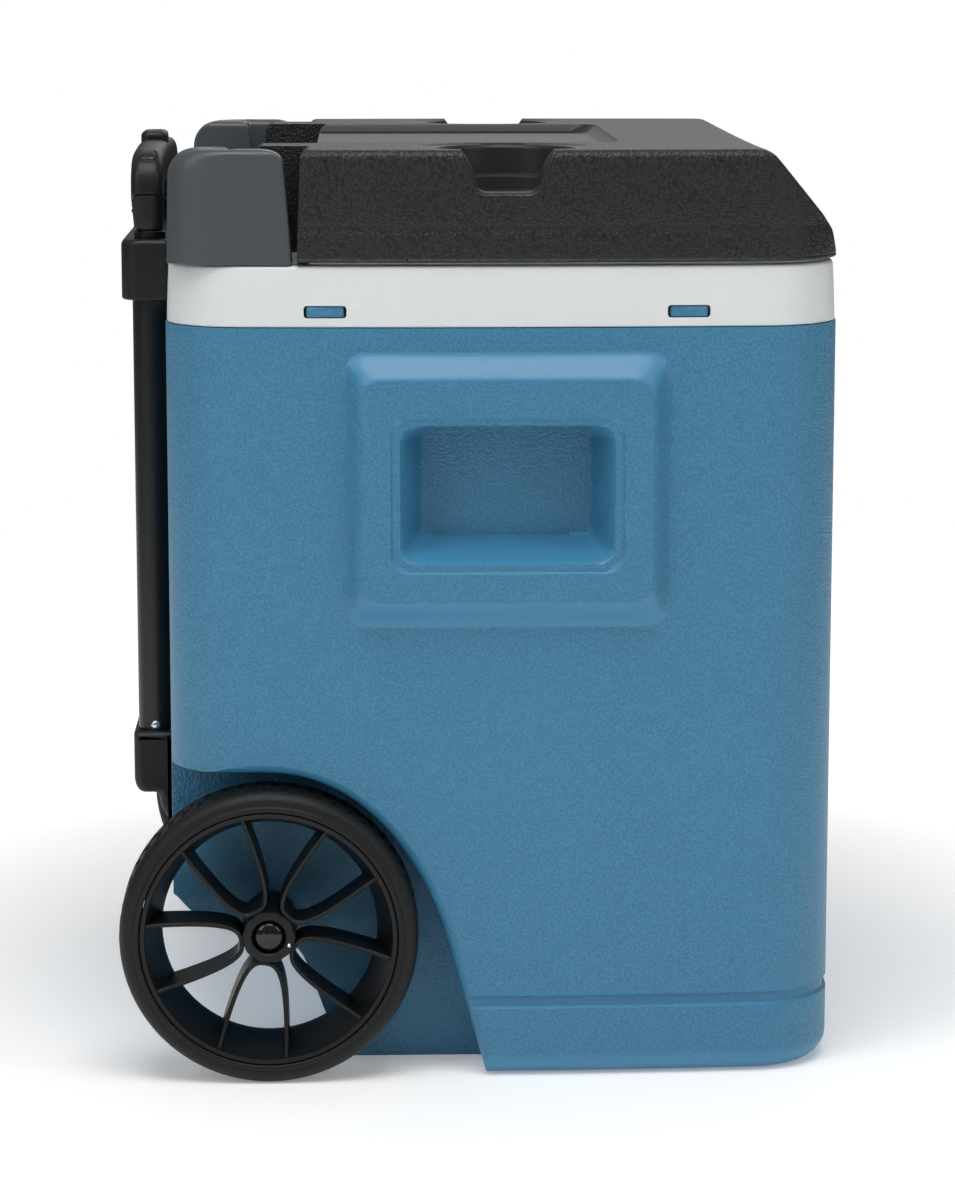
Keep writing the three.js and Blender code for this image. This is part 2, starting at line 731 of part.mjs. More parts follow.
// Plug under the lid: the opening of the tub, drawn in by the clearance and `inset`.
function plugOutline(inset) {
  const draw = PLUG.clearance + inset;
  const halfX = (tubFrontX - tubRearX) / 2 - draw;
  const [front, rear] = [TUB.frontCorner - draw, TUB.rearCorner - draw];
  const outline = roundedRectangle(halfX, tubY - draw, [front, rear, rear, front], 4);
  return moved(outline, (tubFrontX + tubRearX) / 2, 0);
}

function lidFlange() {
  const bottom = collarTop + GAP;
  const margin = PLUG.flangeInset;
  const plan = prism('z', chestOutline(LID.inset + margin), bottom, flangeTop);
  const wingFront = rearX + LID.wingRear + LID.wingSlant + margin;
  const wings = plan.intersect(block(wingFront, frontX, -sideY, sideY, bottom - 1, flangeTop + 1));
  const centreHalf = shoulderHalf - margin;
  const shoulder = rearX + LID.shoulderRear + LID.wall + 2 * GAP;
  return wings.add(block(shoulder, wingFront + 1, -centreHalf, centreHalf, bottom, flangeTop));
}

function lidLiner() {
  const pan = prism('z', plugOutline(0), panBottom, panTop);
  const hollow = prism('z', plugOutline(PLUG.wall), panBottom + PLUG.wall, flangeTop + 5);
  return pan.add(lidFlange()).subtract(hollow);
}

function lidFoam() {
  const fill = lidVolume(LID.wall + GAP);
  const upper = fill.subtract(block(-1000, 1000, -1000, 1000, lidBottom - 50, flangeTop + GAP));
  const pan = prism('z', plugOutline(PLUG.wall + GAP), panBottom + PLUG.wall + GAP, panTop - 2);
  const neck = prism('z', plugOutline(PLUG.wall + GAP), panTop - 4, flangeTop + 5).intersect(fill);
  return joined(upper, pan, neck);
}

// ------------------------------------------------------------------------------------------
// Hinge covers, their brackets and pins
// ------------------------------------------------------------------------------------------

function coverProfile(inset, bottom) {
  const rear = rearX + COVER.rear + inset;
  const top = lidTop - inset;
  const front = rearX + COVER.front - inset;
  const topFront = rearX + COVER.topFront - inset;
  const back = new THREE.CubicBezierCurve(
    new THREE.Vector2(rear + 22, top),
    new THREE.Vector2(rear + 6, top),
    new THREE.Vector2(rear + 2, top - 19),
    new THREE.Vector2(rear, top - 54),
  ).getPoints(6).map((point) => [point.x, point.y]);
  const turn = 0.3 * COVER.round;
  return [
    [rear, bottom],
    [front, bottom],
    [topFront, top - COVER.round],
    [topFront - turn, top - turn],
    [topFront - COVER.round, top],
    ...back,
  ];
}

function coverVolume(side, inset) {
  const bottom = collarTop + (inset > 0 ? -10 : GAP);
  const inner = coverInnerY + inset;
  const body = sidePrism(side, coverProfile(inset, bottom), inner, sideY + 5)
    .intersect(prism('z', chestOutline(COVER.inset + inset), collarTop - 20, lidTop + 20));
  const slantFoot = rearX + COVER.innerFront - inset;
  const rise = lidTop - collarTop;
  const slant = (z) => slantFoot - COVER.innerSlant * (z - collarTop) / rise;
  const step = sidePrism(side, [
    [slant(collarTop - 30), collarTop - 30],
    [frontX, collarTop - 30],
    [frontX, lidTop + 30],
    [slant(lidTop + 30), lidTop + 30],
  ], inner - 10, coverInnerY + COVER.innerDepth + inset);
  return body.subtract(step);
}

function hingeCover(side) {
  const bore = alongPin(side, HINGE.pin + 1.5 * GAP, coverInnerY - 5, coverInnerY + COVER.wall + 1);
  return without(coverVolume(side, 0), coverVolume(side, COVER.wall), bore);
}

function hingeBracket(side) {
  const inner = coverInnerY + COVER.wall + 2 * GAP;
  const outline = [
    [hingeX - 15, collarTop + GAP],
    [hingeX + 9, collarTop + GAP],
    [hingeX + 9, hingeZ + 6],
    [hingeX + 4, hingeZ + 10.5],
    [hingeX - 10, hingeZ + 10.5],
    [hingeX - 15, hingeZ + 4],
  ];
  return sidePrism(side, outline, inner, inner + 16)
    .subtract(alongPin(side, HINGE.pin + GAP, inner - 1, inner + 17));
}

const hingePin = (side) => alongPin(side, HINGE.pin, pinInner, pinOuter - 2);

// ------------------------------------------------------------------------------------------
// Pull handle
// ------------------------------------------------------------------------------------------

const legAt = (side) => [legX, side.sign * legY, 0];
const outward = (side, inner, outer) => [inner * side.sign, outer * side.sign].sort((a, b) => a - b);

const rivetZ = lowerTop + 3;

function rivetShank(side, radius, inner, outer) {
  const [from, to] = outward(side, legY + inner, legY + outer);
  return bar('y', radius, from, to, [legX, 0, rivetZ], 10);
}

function outerTube(side) {
  const tube = pipe(
    'z', HANDLE.outer, HANDLE.outer - HANDLE.wall, outerBottom, outerTop, legAt(side));
  return tube.subtract(rivetShank(side, 1.8, HANDLE.outer - 3, HANDLE.outer + 3));
}

function tubeRivet(side) {
  const shank = rivetShank(side, 1.5, HANDLE.outer - HANDLE.wall + 0.2, HANDLE.outer + 1);
  return shank.add(rivetShank(side, 3, HANDLE.outer + GAP, HANDLE.outer + 1.5));
}

function middleTube(side) {
  return pipe('z', middleRadius, middleRadius - HANDLE.wall, middleBottom, middleTop, legAt(side));
}

function innerTube(side) {
  const tube = pipe(
    'z', innerRadius, innerRadius - HANDLE.wall, innerBottom, innerTop, legAt(side));
  return tube.subtract(gripScrewBore(side, 0.4));
}

// Foot ring under a tube, with a spigot up inside it.
function tubeFoot(side, radius, top) {
  const bore = radius - HANDLE.wall - 2.4;
  const spigot = radius - HANDLE.wall - GAP;
  const profile = [
    [bore, top - HANDLE.foot],
    [radius, top - HANDLE.foot],
    [radius, top - GAP],
    [spigot, top - GAP],
    [spigot, top + 6],
    [bore, top + 6],
  ];
  return turned('z', profile, legAt(side), 16);
}

// The middle tube's foot lets the inner leg pass, so it is a plain ring below the tube.
function middleFoot(side) {
  const bore = innerRadius + HANDLE.play;
  const top = middleBottom - GAP;
  return pipe('z', middleRadius, bore, top - HANDLE.foot, top, legAt(side));
}

function bracketScrewCuts(upper) {
  return screwPlaces.filter((place) => place.upper === upper).map((place) => {
    const head = bar(
      'x', SCREW.head + 2 * GAP, rearX - bracketDepth - 5, screwHeadX(place) + SCREW.headHeight + GAP,
      [0, place.y, place.z], 8);
    return head.add(screwBore(place, SCREW.shank + GAP));
  });
}

function upperBracket() {
  const half = bracketDepth / 2;
  const outline = moved(
    roundedRectangle(half - GAP / 2, bracketHalf, [4, 10, 10, 4], 3), rearX - half - GAP / 2, 0);
  const body = prism('z', outline, upperBottom, upperTop, 2, 1);
  const sockets = SIDES.flatMap((side) => [
    bar('z', HANDLE.outer + GAP, upperBottom - 5, outerTop + GAP, legAt(side), 16),
    bar('z', middleRadius + HANDLE.play, outerTop - 5, upperTop + 5, legAt(side), 16),
  ]);
  return without(body, ...sockets, ...bracketScrewCuts(true));
}

function lowerBracket() {
  const front = rearX - GAP;
  const back = rearX - lowerDepth;
  const { lowerBottom: bottom, tail, tailDepth } = BRACKET;
  const profile = [
    [front, lowerTop],
    [back + 1.5, lowerTop],
    [back, lowerTop - 1.5],
    [back, bottom + 8],
    [back + 2.3, bottom + 2.3],
    [back + 8, bottom],
    [front - tailDepth, bottom],
    [front - tailDepth + 1, bottom - 9],
    [front - 3, bottom - tail + 2],
    [front, bottom - tail],
  ];
  const body = prism('y', profile, -bracketHalf, bracketHalf, 1.5, 1);
  const sockets = SIDES.map(
    (side) => bar('z', HANDLE.outer + GAP, outerBottom - GAP, lowerTop + 5, legAt(side), 16));
  return without(body, ...sockets, ...bracketScrewCuts(false));
}

function bracketScrew(place) {
  const head = screwHeadX(place);
  const tip = screwTipX(place);
  const profile = [
    [0, head],
    [SCREW.head - 1, head],
    [SCREW.head, head + SCREW.headHeight],
    [SCREW.shank, head + SCREW.headHeight],
    [SCREW.shank, tip],
    [0, tip],
  ];
  return turned('x', profile, [0, place.y, place.z], 8);
}

const gripScrewZ = sleeveBottom + 12;
const gripRearX = gripX - GRIP.thickness / 2;

function gripScrewBore(side, play) {
  return bar('x', 1.6 + play, gripRearX - 1, legX, [0, side.sign * legY, gripScrewZ], 10);
}

function gripScrew(side) {
  const to = legX - innerRadius + HANDLE.wall - 0.2;
  return bar('x', 1.6, gripRearX + 0.2, to, [0, side.sign * legY, gripScrewZ], 10);
}

// Front view of the grip: a bar that rises to the middle, and a leg down over each tube.
function gripOutline() {
  const outer = legY + GRIP.legHalf;
  const inner = legY - GRIP.legHalf;
  const crown = new THREE.Shape();
  crown.moveTo(outer, sleeveBottom);
  crown.lineTo(outer, sleeveBottom + 22);
  crown.bezierCurveTo(outer, gripTop - 11, outer - 8, gripTop - 4.5, outer - 26, gripTop - 3);
  crown.quadraticCurveTo(outer / 2 - 8, gripTop, 0, gripTop);
  const half = crown.getPoints(4).map((point) => [point.x, point.y]);
  const otherHalf = half.slice(0, -1).reverse().map(([y, z]) => [-y, z]);
  const turn = new THREE.QuadraticBezierCurve(
    new THREE.Vector2(-inner, gripUnderside - 13),
    new THREE.Vector2(-inner, gripUnderside),
    new THREE.Vector2(-inner + 13, gripUnderside),
  ).getPoints(3).map((point) => [point.x, point.y]);
  const otherTurn = turn.slice().reverse().map(([y, z]) => [-y, z]);
  return [
    ...half, ...otherHalf,
    [-inner, sleeveBottom], ...turn, ...otherTurn, [inner, sleeveBottom],
  ];
}

const springWell = { radius: 4.5, bottom: gripTop - 24 };
const slideTop = releaseBottom + RELEASE.height + BUTTON.play;
const slideBottom = releaseBottom - BUTTON.travel - 2 * BUTTON.play;

function grip() {
  const half = GRIP.thickness / 2;
  const body = prism('x', gripOutline(), gripX - half, gripX + half, 4, 1);
  const depth = RELEASE.depth / 2 + BUTTON.play;
  const slide = block(
    legX - depth, legX + depth, -releaseHalf - 1, releaseHalf + 1, slideBottom, slideTop);
  const mouth = block(
    gripX - BUTTON.depth / 2 - BUTTON.play, gripX + BUTTON.depth / 2 + BUTTON.play,
    -BUTTON.width / 2 - BUTTON.play, BUTTON.width / 2 + BUTTON.play,
    slideTop - BUTTON.travel - 2 * BUTTON.play, gripTop + 10);
  const spring = bar('z', springWell.radius, springWell.bottom, slideBottom + 1, [legX, 0, 0], 12);
  const tubes = SIDES.flatMap((side) => [
    bar('z', innerRadius + GAP, sleeveBottom - 5, innerTop + GAP, legAt(side), 16),
    bar('z', ROD.radius + 0.5, innerTop - 5, slideBottom + 1, legAt(side), 10),
    gripScrewBore(side, 0.3),
  ]);
  return without(body, slide, mouth, spring, ...tubes);
}

function pushButton() {
  const bottom = releaseBottom + RELEASE.height + GAP;
  const outline = moved(
    roundedRectangle(BUTTON.width / 2, BUTTON.depth / 2, Array(4).fill(5), 3).map(([y, x]) => [x, y]),
    gripX, 0).reverse();
  return prism('z', outline, bottom - 3, gripTop + BUTTON.proud, 2.5, 2)
    .subtract(block(gripX - 50, gripX + 50, -50, 50, bottom - 10, bottom));
}

function releaseBar() {
  return block(
    legX - RELEASE.depth / 2, legX + RELEASE.depth / 2, -releaseHalf, releaseHalf,
    releaseBottom, releaseBottom + RELEASE.height);
}

function lockRod(side) {
  return bar('z', ROD.radius, innerBottom + ROD.lift, releaseBottom - GAP, legAt(side), 10);
}

function buttonSpring() {
  const top = releaseBottom - BUTTON.travel - GAP;
  const { radius, bottom } = springWell;
  return pipe('z', radius - 0.5, radius - 1.7, bottom + GAP, top, [legX, 0, 0], 12);
}

// ------------------------------------------------------------------------------------------
// Wheels. Local frame: outer face at Y = 0, inboard along +Y, axle on the Y axis.
// ------------------------------------------------------------------------------------------

// One pair of spokes is one arch: its two legs stand `halfAngle` each side of its axis at the rim
// and its crown touches the hub. The distance out from the crown grows with the cube of the width.
function spokeArch(turn) {
  const half = THREE.MathUtils.degToRad(SPOKE.halfAngle);
  const rimRadius = WHEEL.radius - WHEEL.tyre - 4;
  const reach = rimRadius * Math.cos(half) - SPOKE.crown;
  const width = rimRadius * Math.sin(half);
  const steps = 8;
  const centre = Array.from({ length: steps + 1 }, (_, k) => {
    const share = (2 * k) / steps - 1;
    const v = width * Math.sign(share) * Math.abs(share) ** 0.6;
    return new THREE.Vector2(v, SPOKE.crown + reach * Math.abs(v / width) ** 3);
  });
  const normals = centre.map((_, k) => {
    const ahead = centre[Math.min(k + 1, steps)];
    const behind = centre[Math.max(k - 1, 0)];
    return new THREE.Vector2(behind.y - ahead.y, ahead.x - behind.x).normalize();
  });
  const offset = (amount) => centre.map((point, k) => point.clone().addScaledVector(normals[k], amount));
  const outline = [...offset(SPOKE.thickness / 2), ...offset(-SPOKE.thickness / 2).reverse()];
  const rotated = outline.map((point) => point.rotateAround(new THREE.Vector2(), -turn));
  return prism('y', rotated.map((point) => [point.x, point.y]), SPOKE.front, SPOKE.back);
}

function wheelRim() {
  const seat = WHEEL.radius - WHEEL.tyre - 0.4;
  const width = WHEEL.width;
  const ring = turned('y', [
    [seat - 3.4, 1.5],
    [seat, 1.5],
    [seat, width - 1.5],
    [seat - 12, width - 4],
    [seat - 12, width - 8],
    [seat - 9.6, width - 13],
  ], [0, 0, 0], WHEEL.segments);
  const hub = turned('y', [
    [HUB.bore, HUB.face + HUB.recessDepth],
    [HUB.recess, HUB.face + HUB.recessDepth],
    [HUB.recess, HUB.face],
    [HUB.radius - 1, HUB.face],
    [HUB.radius, HUB.face + 1],
    [HUB.radius, width + WHEEL.inboard - 5],
    [HUB.bore, width + WHEEL.inboard - 5],
  ], [0, 0, 0], 16);
  const pitch = 2 * Math.PI / SPOKE.pairs;
  const tilt = THREE.MathUtils.degToRad(SPOKE.tilt);
  const arches = Array.from({ length: SPOKE.pairs }, (_, k) => spokeArch(tilt + k * pitch));
  const spokes = joined(...arches);
  const bore = bar('y', HUB.bore, -5, width + WHEEL.inboard, [0, 0, 0], 16);
  const recess = bar('y', HUB.recess, -5, HUB.face + HUB.recessDepth, [0, 0, 0], 16);
  return without(joined(ring, hub, spokes), bore, recess, hubPinBore());
}

const hubPinAt = [12, 0, -5];
const hubPinBore = () => bar('y', 1.5, -1, HUB.face + 7, hubPinAt, 8);
const hubPin = () => bar('y', 1.2, HUB.face - 0.6, HUB.face + 6, hubPinAt, 8);

function tyre() {
  const seat = WHEEL.radius - WHEEL.tyre;
  const outer = WHEEL.radius;
  const half = [[seat, 1.2], [seat + 5, 0], [outer - 2, 3], [outer, 11]];
  const otherHalf = half.slice().reverse().map(([radius, y]) => [radius, WHEEL.width - y]);
  return turned('y', [...half, ...otherHalf], [0, 0, 0], WHEEL.segments);
}

const axleEnd = wheelY - HUB.face - 6;

function axleCap(side) {
  const cavity = AXLE.radius + GAP;
  const inner = wheelY - HUB.face - HUB.recessDepth + GAP;
  const rise = [[9.6, 0], [9.4, 4], [6.2, 6.8], [0, 8]];
  const profile = [
    ...rise.map(([radius, height]) => [radius, side.sign * (inner + height)]),
    [0, side.sign * (axleEnd + GAP)],
    [cavity, side.sign * (axleEnd + GAP)],
    [cavity, side.sign * inner],
  ];
  return turned('y', profile, [axleX, 0, axleZ], 16);
}

function wheelWasher(side) {
  const inner = wellY + GAP;
  const [from, to] = outward(side, inner, inner + 5 - 2 * GAP);
  return pipe('y', 12, AXLE.radius + GAP, from, to, [axleX, 0, axleZ]);
}

// ------------------------------------------------------------------------------------------
// Drain
// ------------------------------------------------------------------------------------------

const padY = drainY + 1;

function drainSpout() {
  return turned('y', [
    [DRAIN.bore, tubY - 8],
    [DRAIN.neck, tubY - 8],
    [DRAIN.neck, padY + 2.3],
    [DRAIN.flange, padY + 2.3],
    [DRAIN.flange, padY + 4.8],
    [DRAIN.neck, padY + 4.8],
    [DRAIN.neck, padY + 9],
    [DRAIN.bore, padY + 9],
  ], [drainX, 0, DRAIN.height], 12);
}

const drainGasket = () => pipe(
  'y', DRAIN.flange - 1, DRAIN.neck + GAP, padY + GAP, padY + 2, [drainX, 0, DRAIN.height], 12);

function drainNut() {
  const centre = [drainX, 0, DRAIN.height];
  const nut = bar('y', DRAIN.nut, tubY - 6, tubY - GAP, centre, 6);
  return nut.subtract(drainBore(DRAIN.neck + GAP, tubY - 8, tubY + 1));
}

function drainCap() {
  const inside = padY + 5.2;
  return turned('y', [
    [DRAIN.neck + 0.4, inside],
    [DRAIN.cap, inside],
    [DRAIN.cap, wheelY - 2],
    [DRAIN.cap - 1, wheelY - 1],
    [0, wheelY - 1],
    [0, padY + 9.4],
    [DRAIN.neck + 0.4, padY + 9.4],
  ], [drainX, 0, DRAIN.height], 12);
}

// ------------------------------------------------------------------------------------------
// Assembly
// ------------------------------------------------------------------------------------------

const MATERIALS = {
  blue: { color: 0x4b7c9b, roughness: 0.55, metalness: 0 },
  white: { color: 0xd4d6d6, roughness: 0.45, metalness: 0 },
  black: { color: 0x34373a, roughness: 0.6, metalness: 0 },
  grey: { color: 0x45494d, roughness: 0.45, metalness: 0 },
  foam: { color: 0xe8dfb8, roughness: 0.9, metalness: 0 },
  tube: { color: 0x1f2022, roughness: 0.4, metalness: 0.3 },
  rubber: { color: 0x1d1e1e, roughness: 0.8, metalness: 0 },
  rim: { color: 0x1a1b1d, roughness: 0.5, metalness: 0 },
  steel: { color: 0xb4b6b8, roughness: 0.3, metalness: 1 },
};

function piece(parent, name, solid, material) {
  const mesh = new THREE.Mesh(geometryOf(solid), new THREE.MeshStandardMaterial(MATERIALS[material]));
  mesh.name = name;
  parent.add(mesh);
}

const cooler = new THREE.Group();

const chest = new THREE.Group();
cooler.add(chest);
piece(chest, 'body_shell', bodyShell(), 'blue');
piece(chest, 'insulation_core', insulationCore(), 'foam');
piece(chest, 'liner_tub', linerTub(), 'white');
piece(chest, 'axle', bar('y', AXLE.radius, -axleEnd, axleEnd, [axleX, 0, axleZ], 16), 'steel');
piece(chest, 'drain_spout', drainSpout(), 'white');
piece(chest, 'drain_nut', drainNut(), 'white');
piece(chest, 'drain_gasket', drainGasket(), 'rubber');
piece(chest, 'drain_cap', drainCap(), 'black');
SIDES.forEach((side) => {
  piece(chest, `hinge_cover_${side.name}`, hingeCover(side), 'grey');
  piece(chest, `hinge_bracket_${side.name}`, hingeBracket(side), 'black');
  piece(chest, `hinge_pin_${side.name}`, hingePin(side), 'steel');
  piece(chest, `axle_cap_${side.name}`, axleCap(side), 'rim');
  piece(chest, `wheel_washer_${side.name}`, wheelWasher(side), 'black');
});

const lid = new THREE.Group();
cooler.add(lid);
piece(lid, 'lid_shell', lidShell(), 'black');
piece(lid, 'lid_foam', lidFoam(), 'foam');
piece(lid, 'lid_liner', lidLiner(), 'white');

const handle = new THREE.Group();
cooler.add(handle);
piece(handle, 'upper_bracket', upperBracket(), 'black');
piece(handle, 'lower_bracket', lowerBracket(), 'black');
screwPlaces.forEach((place, k) => piece(handle, `bracket_screw_${k + 1}`, bracketScrew(place), 'steel'));
SIDES.forEach((side) => {
  piece(handle, `outer_tube_${side.name}`, outerTube(side), 'tube');
  piece(handle, `tube_rivet_${side.name}`, tubeRivet(side), 'steel');
  piece(handle, `middle_tube_${side.name}`, middleTube(side), 'tube');
  piece(handle, `middle_foot_${side.name}`, middleFoot(side), 'white');
  piece(handle, `inner_tube_${side.name}`, innerTube(side), 'tube');
  piece(handle, `inner_foot_${side.name}`, tubeFoot(side, innerRadius, innerBottom), 'white');
  piece(handle, `grip_screw_${side.name}`, gripScrew(side), 'steel');
  piece(handle, `lock_rod_${side.name}`, lockRod(side), 'steel');
});
piece(handle, 'grip', grip(), 'grey');
piece(handle, 'push_button', pushButton(), 'grey');
piece(handle, 'release_bar', releaseBar(), 'white');
piece(handle, 'button_spring', buttonSpring(), 'steel');

SIDES.forEach((side) => {
  const wheel = new THREE.Group();
  wheel.position.set(axleX, side.sign * wheelY, axleZ);
  wheel.rotation.z = side.sign > 0 ? Math.PI : 0;
  cooler.add(wheel);
  piece(wheel, `wheel_rim_${side.name}`, wheelRim(), 'rim');
  piece(wheel, `tyre_${side.name}`, tyre(), 'rubber');
  piece(wheel, `hub_pin_${side.name}`, hubPin(), 'steel');
});

export default cooler;
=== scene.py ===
"""Looks of a wheeled cooler: moulded chest, hinged lid, two-stage pull handle and treaded wheels.

Every size is in millimetres until a mesh is made, and every place is in the frame of the CAD model:
+X towards the front of the chest, +Y towards its left side, +Z up.
"""
import json
import logging
import math
from collections.abc import Callable
from dataclasses import dataclass, field
from enum import Enum

import bpy
import bmesh
import numpy as np
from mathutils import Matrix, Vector


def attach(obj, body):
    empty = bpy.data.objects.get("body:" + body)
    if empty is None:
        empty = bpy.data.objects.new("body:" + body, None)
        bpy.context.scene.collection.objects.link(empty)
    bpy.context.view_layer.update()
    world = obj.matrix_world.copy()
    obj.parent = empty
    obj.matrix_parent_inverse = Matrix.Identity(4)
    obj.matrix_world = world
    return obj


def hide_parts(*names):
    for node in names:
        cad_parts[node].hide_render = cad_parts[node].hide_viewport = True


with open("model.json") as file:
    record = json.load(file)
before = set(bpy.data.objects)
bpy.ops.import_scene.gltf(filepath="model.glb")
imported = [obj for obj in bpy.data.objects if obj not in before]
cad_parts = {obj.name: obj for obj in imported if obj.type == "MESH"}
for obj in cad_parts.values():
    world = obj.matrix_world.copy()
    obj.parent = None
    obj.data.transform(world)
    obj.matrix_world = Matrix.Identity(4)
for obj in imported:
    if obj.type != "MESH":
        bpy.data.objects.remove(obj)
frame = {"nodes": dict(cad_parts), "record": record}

logging.basicConfig(level=logging.INFO, format="%(message)s")
log = logging.getLogger("cooler")

Array = np.ndarray
Object = bpy.types.Object
MM = 0.001


# --------------------------------------------------------------------------------------
# Sizes that several pieces share
# --------------------------------------------------------------------------------------

class Side(Enum):
    """The two sides of the chest, with the sign of their Y."""

    RIGHT = -1
    LEFT = 1

    @property
    def word(self) -> str:
        """The side's name as the CAD nodes end with it."""
        return self.name.lower()


@dataclass(frozen=True)
class Plan:
    """Plan of the chest: a rounded rectangle whose sides and front swell."""

    half_x: float = 198.5
    half_y: float = 212.0
    mid_x: float = 12.5
    corner: float = 45.0
    side_bow: float = 8.0
    front_bow: float = 5.0

    def side_at(self, x: Array) -> Array:
        """Half width of the chest at a place along it: the fullest less the bow times u squared."""
        u = np.clip((np.asarray(x, float) - self.mid_x) / self.half_x, -1, 1)
        return self.half_y + self.side_bow * (1 - u * u)

    def swell(self, flat: Array) -> Array:
        """Bows a plan outline: x grows by the front bow and y by the side bow.

        Args:
            flat: Points (N, 2) of an outline about the origin.

        Returns:
            The bowed points at their place in the frame.
        """
        u, v = flat[:, 0] / self.half_x, flat[:, 1] / self.half_y
        x = flat[:, 0] + self.front_bow * (1 - v * v) * np.maximum(0, u) ** 2
        y = flat[:, 1] + self.side_bow * (1 - u * u) * v
        return np.stack([x + self.mid_x, y], axis=1)

    def outline(self, inset: float, side_lines: Array, end_lines: Array, steps: int = 9) -> Array:
        """Outline drawn in by an inset, with its points at chosen places along the straight runs.

        Args:
            inset: Distance drawn in from the full outline.
            side_lines: Places along the sides, from -1 at the rear to 1 at the front.
            end_lines: Places across the front and the rear, from -1 to 1.
            steps: Points round each corner.

        Returns:
            Points (N, 2), turning left round the chest.
        """
        flat = rounded_rectangle(
            self.half_x - inset, self.half_y - inset, [max(self.corner - inset, 1.0)] * 4,
            steps, side_lines, end_lines)
        return self.swell(flat)


PLAN = Plan()
CHEST_TOP = 451.0
COLLAR_TOP = 487.0
LID_BOTTOM = 489.0
LID_TOP = 554.0
REAR_X = -186.0
MID_X = 15.0
HINGE_X, HINGE_Z = -156.0, 521.5
AXLE_X, AXLE_Z = -126.8, 89.0
WHEEL_Y = 232.0
LEG_X, LEG_Y = -198.6, 95.0
GRIP_X = -199.6
DRAIN_X, DRAIN_Z = 130.0, 68.0
WELL_Y = 171.0


# --------------------------------------------------------------------------------------
# Outlines
# --------------------------------------------------------------------------------------

def rounded_rectangle(half_x: float, half_y: float, radii: list[float], steps: int = 8,
                      side_lines: Array | None = None, end_lines: Array | None = None) -> Array:
    """Rectangle about the origin with four quarter circles for corners.

    Args:
        half_x: Half length along the first axis.
        half_y: Half length along the second axis.
        radii: Corner radii: front left, rear left, rear right, front right.
        steps: Points round each corner.
        side_lines: Places along the two long runs from -1 to 1, at right angles to the ends.
        end_lines: Places along the front and rear runs from -1 to 1.

    Returns:
        Points (N, 2), turning left.
    """
    sides = np.zeros(0) if side_lines is None else np.asarray(side_lines, float)
    ends = np.zeros(0) if end_lines is None else np.asarray(end_lines, float)
    signs = [(1, 1), (-1, 1), (-1, -1), (1, -1)]
    runs = []
    for k, (sx, sy) in enumerate(signs):
        radius = radii[k]
        angle = (k + np.linspace(0, 1, steps)) * math.pi / 2
        runs.append(np.stack([
            sx * (half_x - radius) + radius * np.cos(angle),
            sy * (half_y - radius) + radius * np.sin(angle)], axis=1))
        start = runs[-1][-1]
        after = radii[(k + 1) % 4]
        nx, ny = signs[(k + 1) % 4]
        turn = ((k + 1) % 4) * math.pi / 2
        end = np.array([nx * (half_x - after) + after * math.cos(turn),
                        ny * (half_y - after) + after * math.sin(turn)])
        lines = sides if k % 2 == 0 else ends
        share = (1 - lines[::-1]) / 2 if k in (0, 1) else (1 + lines) / 2
        runs.append(start + np.sort(share)[:, None] * (end - start))
    return np.concatenate(runs)


def rounded_polygon(corners: Array, radii: Array, steps: int = 5) -> Array:
    """Polygon whose corners are rounded by quadratic curves that start a radius from each corner.

    Args:
        corners: Corner points (K, 2).
        radii: How far along its two sides each corner's curve starts (K,).
        steps: Points on each curve.

    Returns:
        Points (K * steps, 2).
    """
    corners = np.asarray(corners, float)
    before = np.roll(corners, 1, axis=0) - corners
    after = np.roll(corners, -1, axis=0) - corners
    reach_in = np.minimum(radii, 0.49 * np.linalg.norm(before, axis=1))
    reach_out = np.minimum(radii, 0.49 * np.linalg.norm(after, axis=1))
    first = corners + before / np.linalg.norm(before, axis=1)[:, None] * reach_in[:, None]
    last = corners + after / np.linalg.norm(after, axis=1)[:, None] * reach_out[:, None]
    t = np.linspace(0, 1, steps)[None, :, None]
    curve = (1 - t) ** 2 * first[:, None] + 2 * t * (1 - t) * corners[:, None] + t ** 2 * last[:, None]
    return curve.reshape(-1, 2)


def resampled(points: Array, count: int) -> Array:
    """Points spaced evenly by length along the closed line through the given points.

    Args:
        points: Points (N, D) of the line.
        count: How many points to make.

    Returns:
        Points (count, D).
    """
    line = np.vstack([points, points[:1]])
    length = np.concatenate([[0], np.cumsum(np.linalg.norm(np.diff(line, axis=0), axis=1))])
    at = np.linspace(0, length[-1], count + 1)[:-1]
    return np.stack([np.interp(at, length, line[:, k]) for k in range(line.shape[1])], axis=1)


def bezier(knots: list[list[float]], count: int) -> Array:
    """Points (count, 2) of a cubic curve, which mixes its four knots by t: (1-t)^3, 3t(1-t)^2, and so on.

    Args:
        knots: The four knots (x, y).
        count: How many points to make.

    Returns:
        Points from the first knot to the last.
    """
    t = np.linspace(0, 1, count)[:, None]
    a, b, c, d = np.asarray(knots, float)
    return (1 - t) ** 3 * a + 3 * t * (1 - t) ** 2 * b + 3 * t * t * (1 - t) * c + t ** 3 * d


def ellipse(x: float, y: float, half_x: float, half_y: float, count: int) -> Array:
    """Points (count, 2) of an ellipse about a place in the plan."""
    angle = np.linspace(0, 2 * math.pi, count, endpoint=False)
    return np.stack([x + half_x * np.cos(angle), y + half_y * np.sin(angle)], axis=1)


def grown(outline: Array, amount: float) -> Array:
    """Outline moved outwards along its own normals; it must turn left.

    Args:
        outline: Points (N, 2).
        amount: Distance to move, outwards if positive.

    Returns:
        The moved points.
    """
    ahead, behind = np.roll(outline, -1, axis=0), np.roll(outline, 1, axis=0)
    along = ahead - behind
    normal = np.stack([along[:, 1], -along[:, 0]], axis=1)
    return outline + amount * normal / np.maximum(np.linalg.norm(normal, axis=1), 1e-9)[:, None]


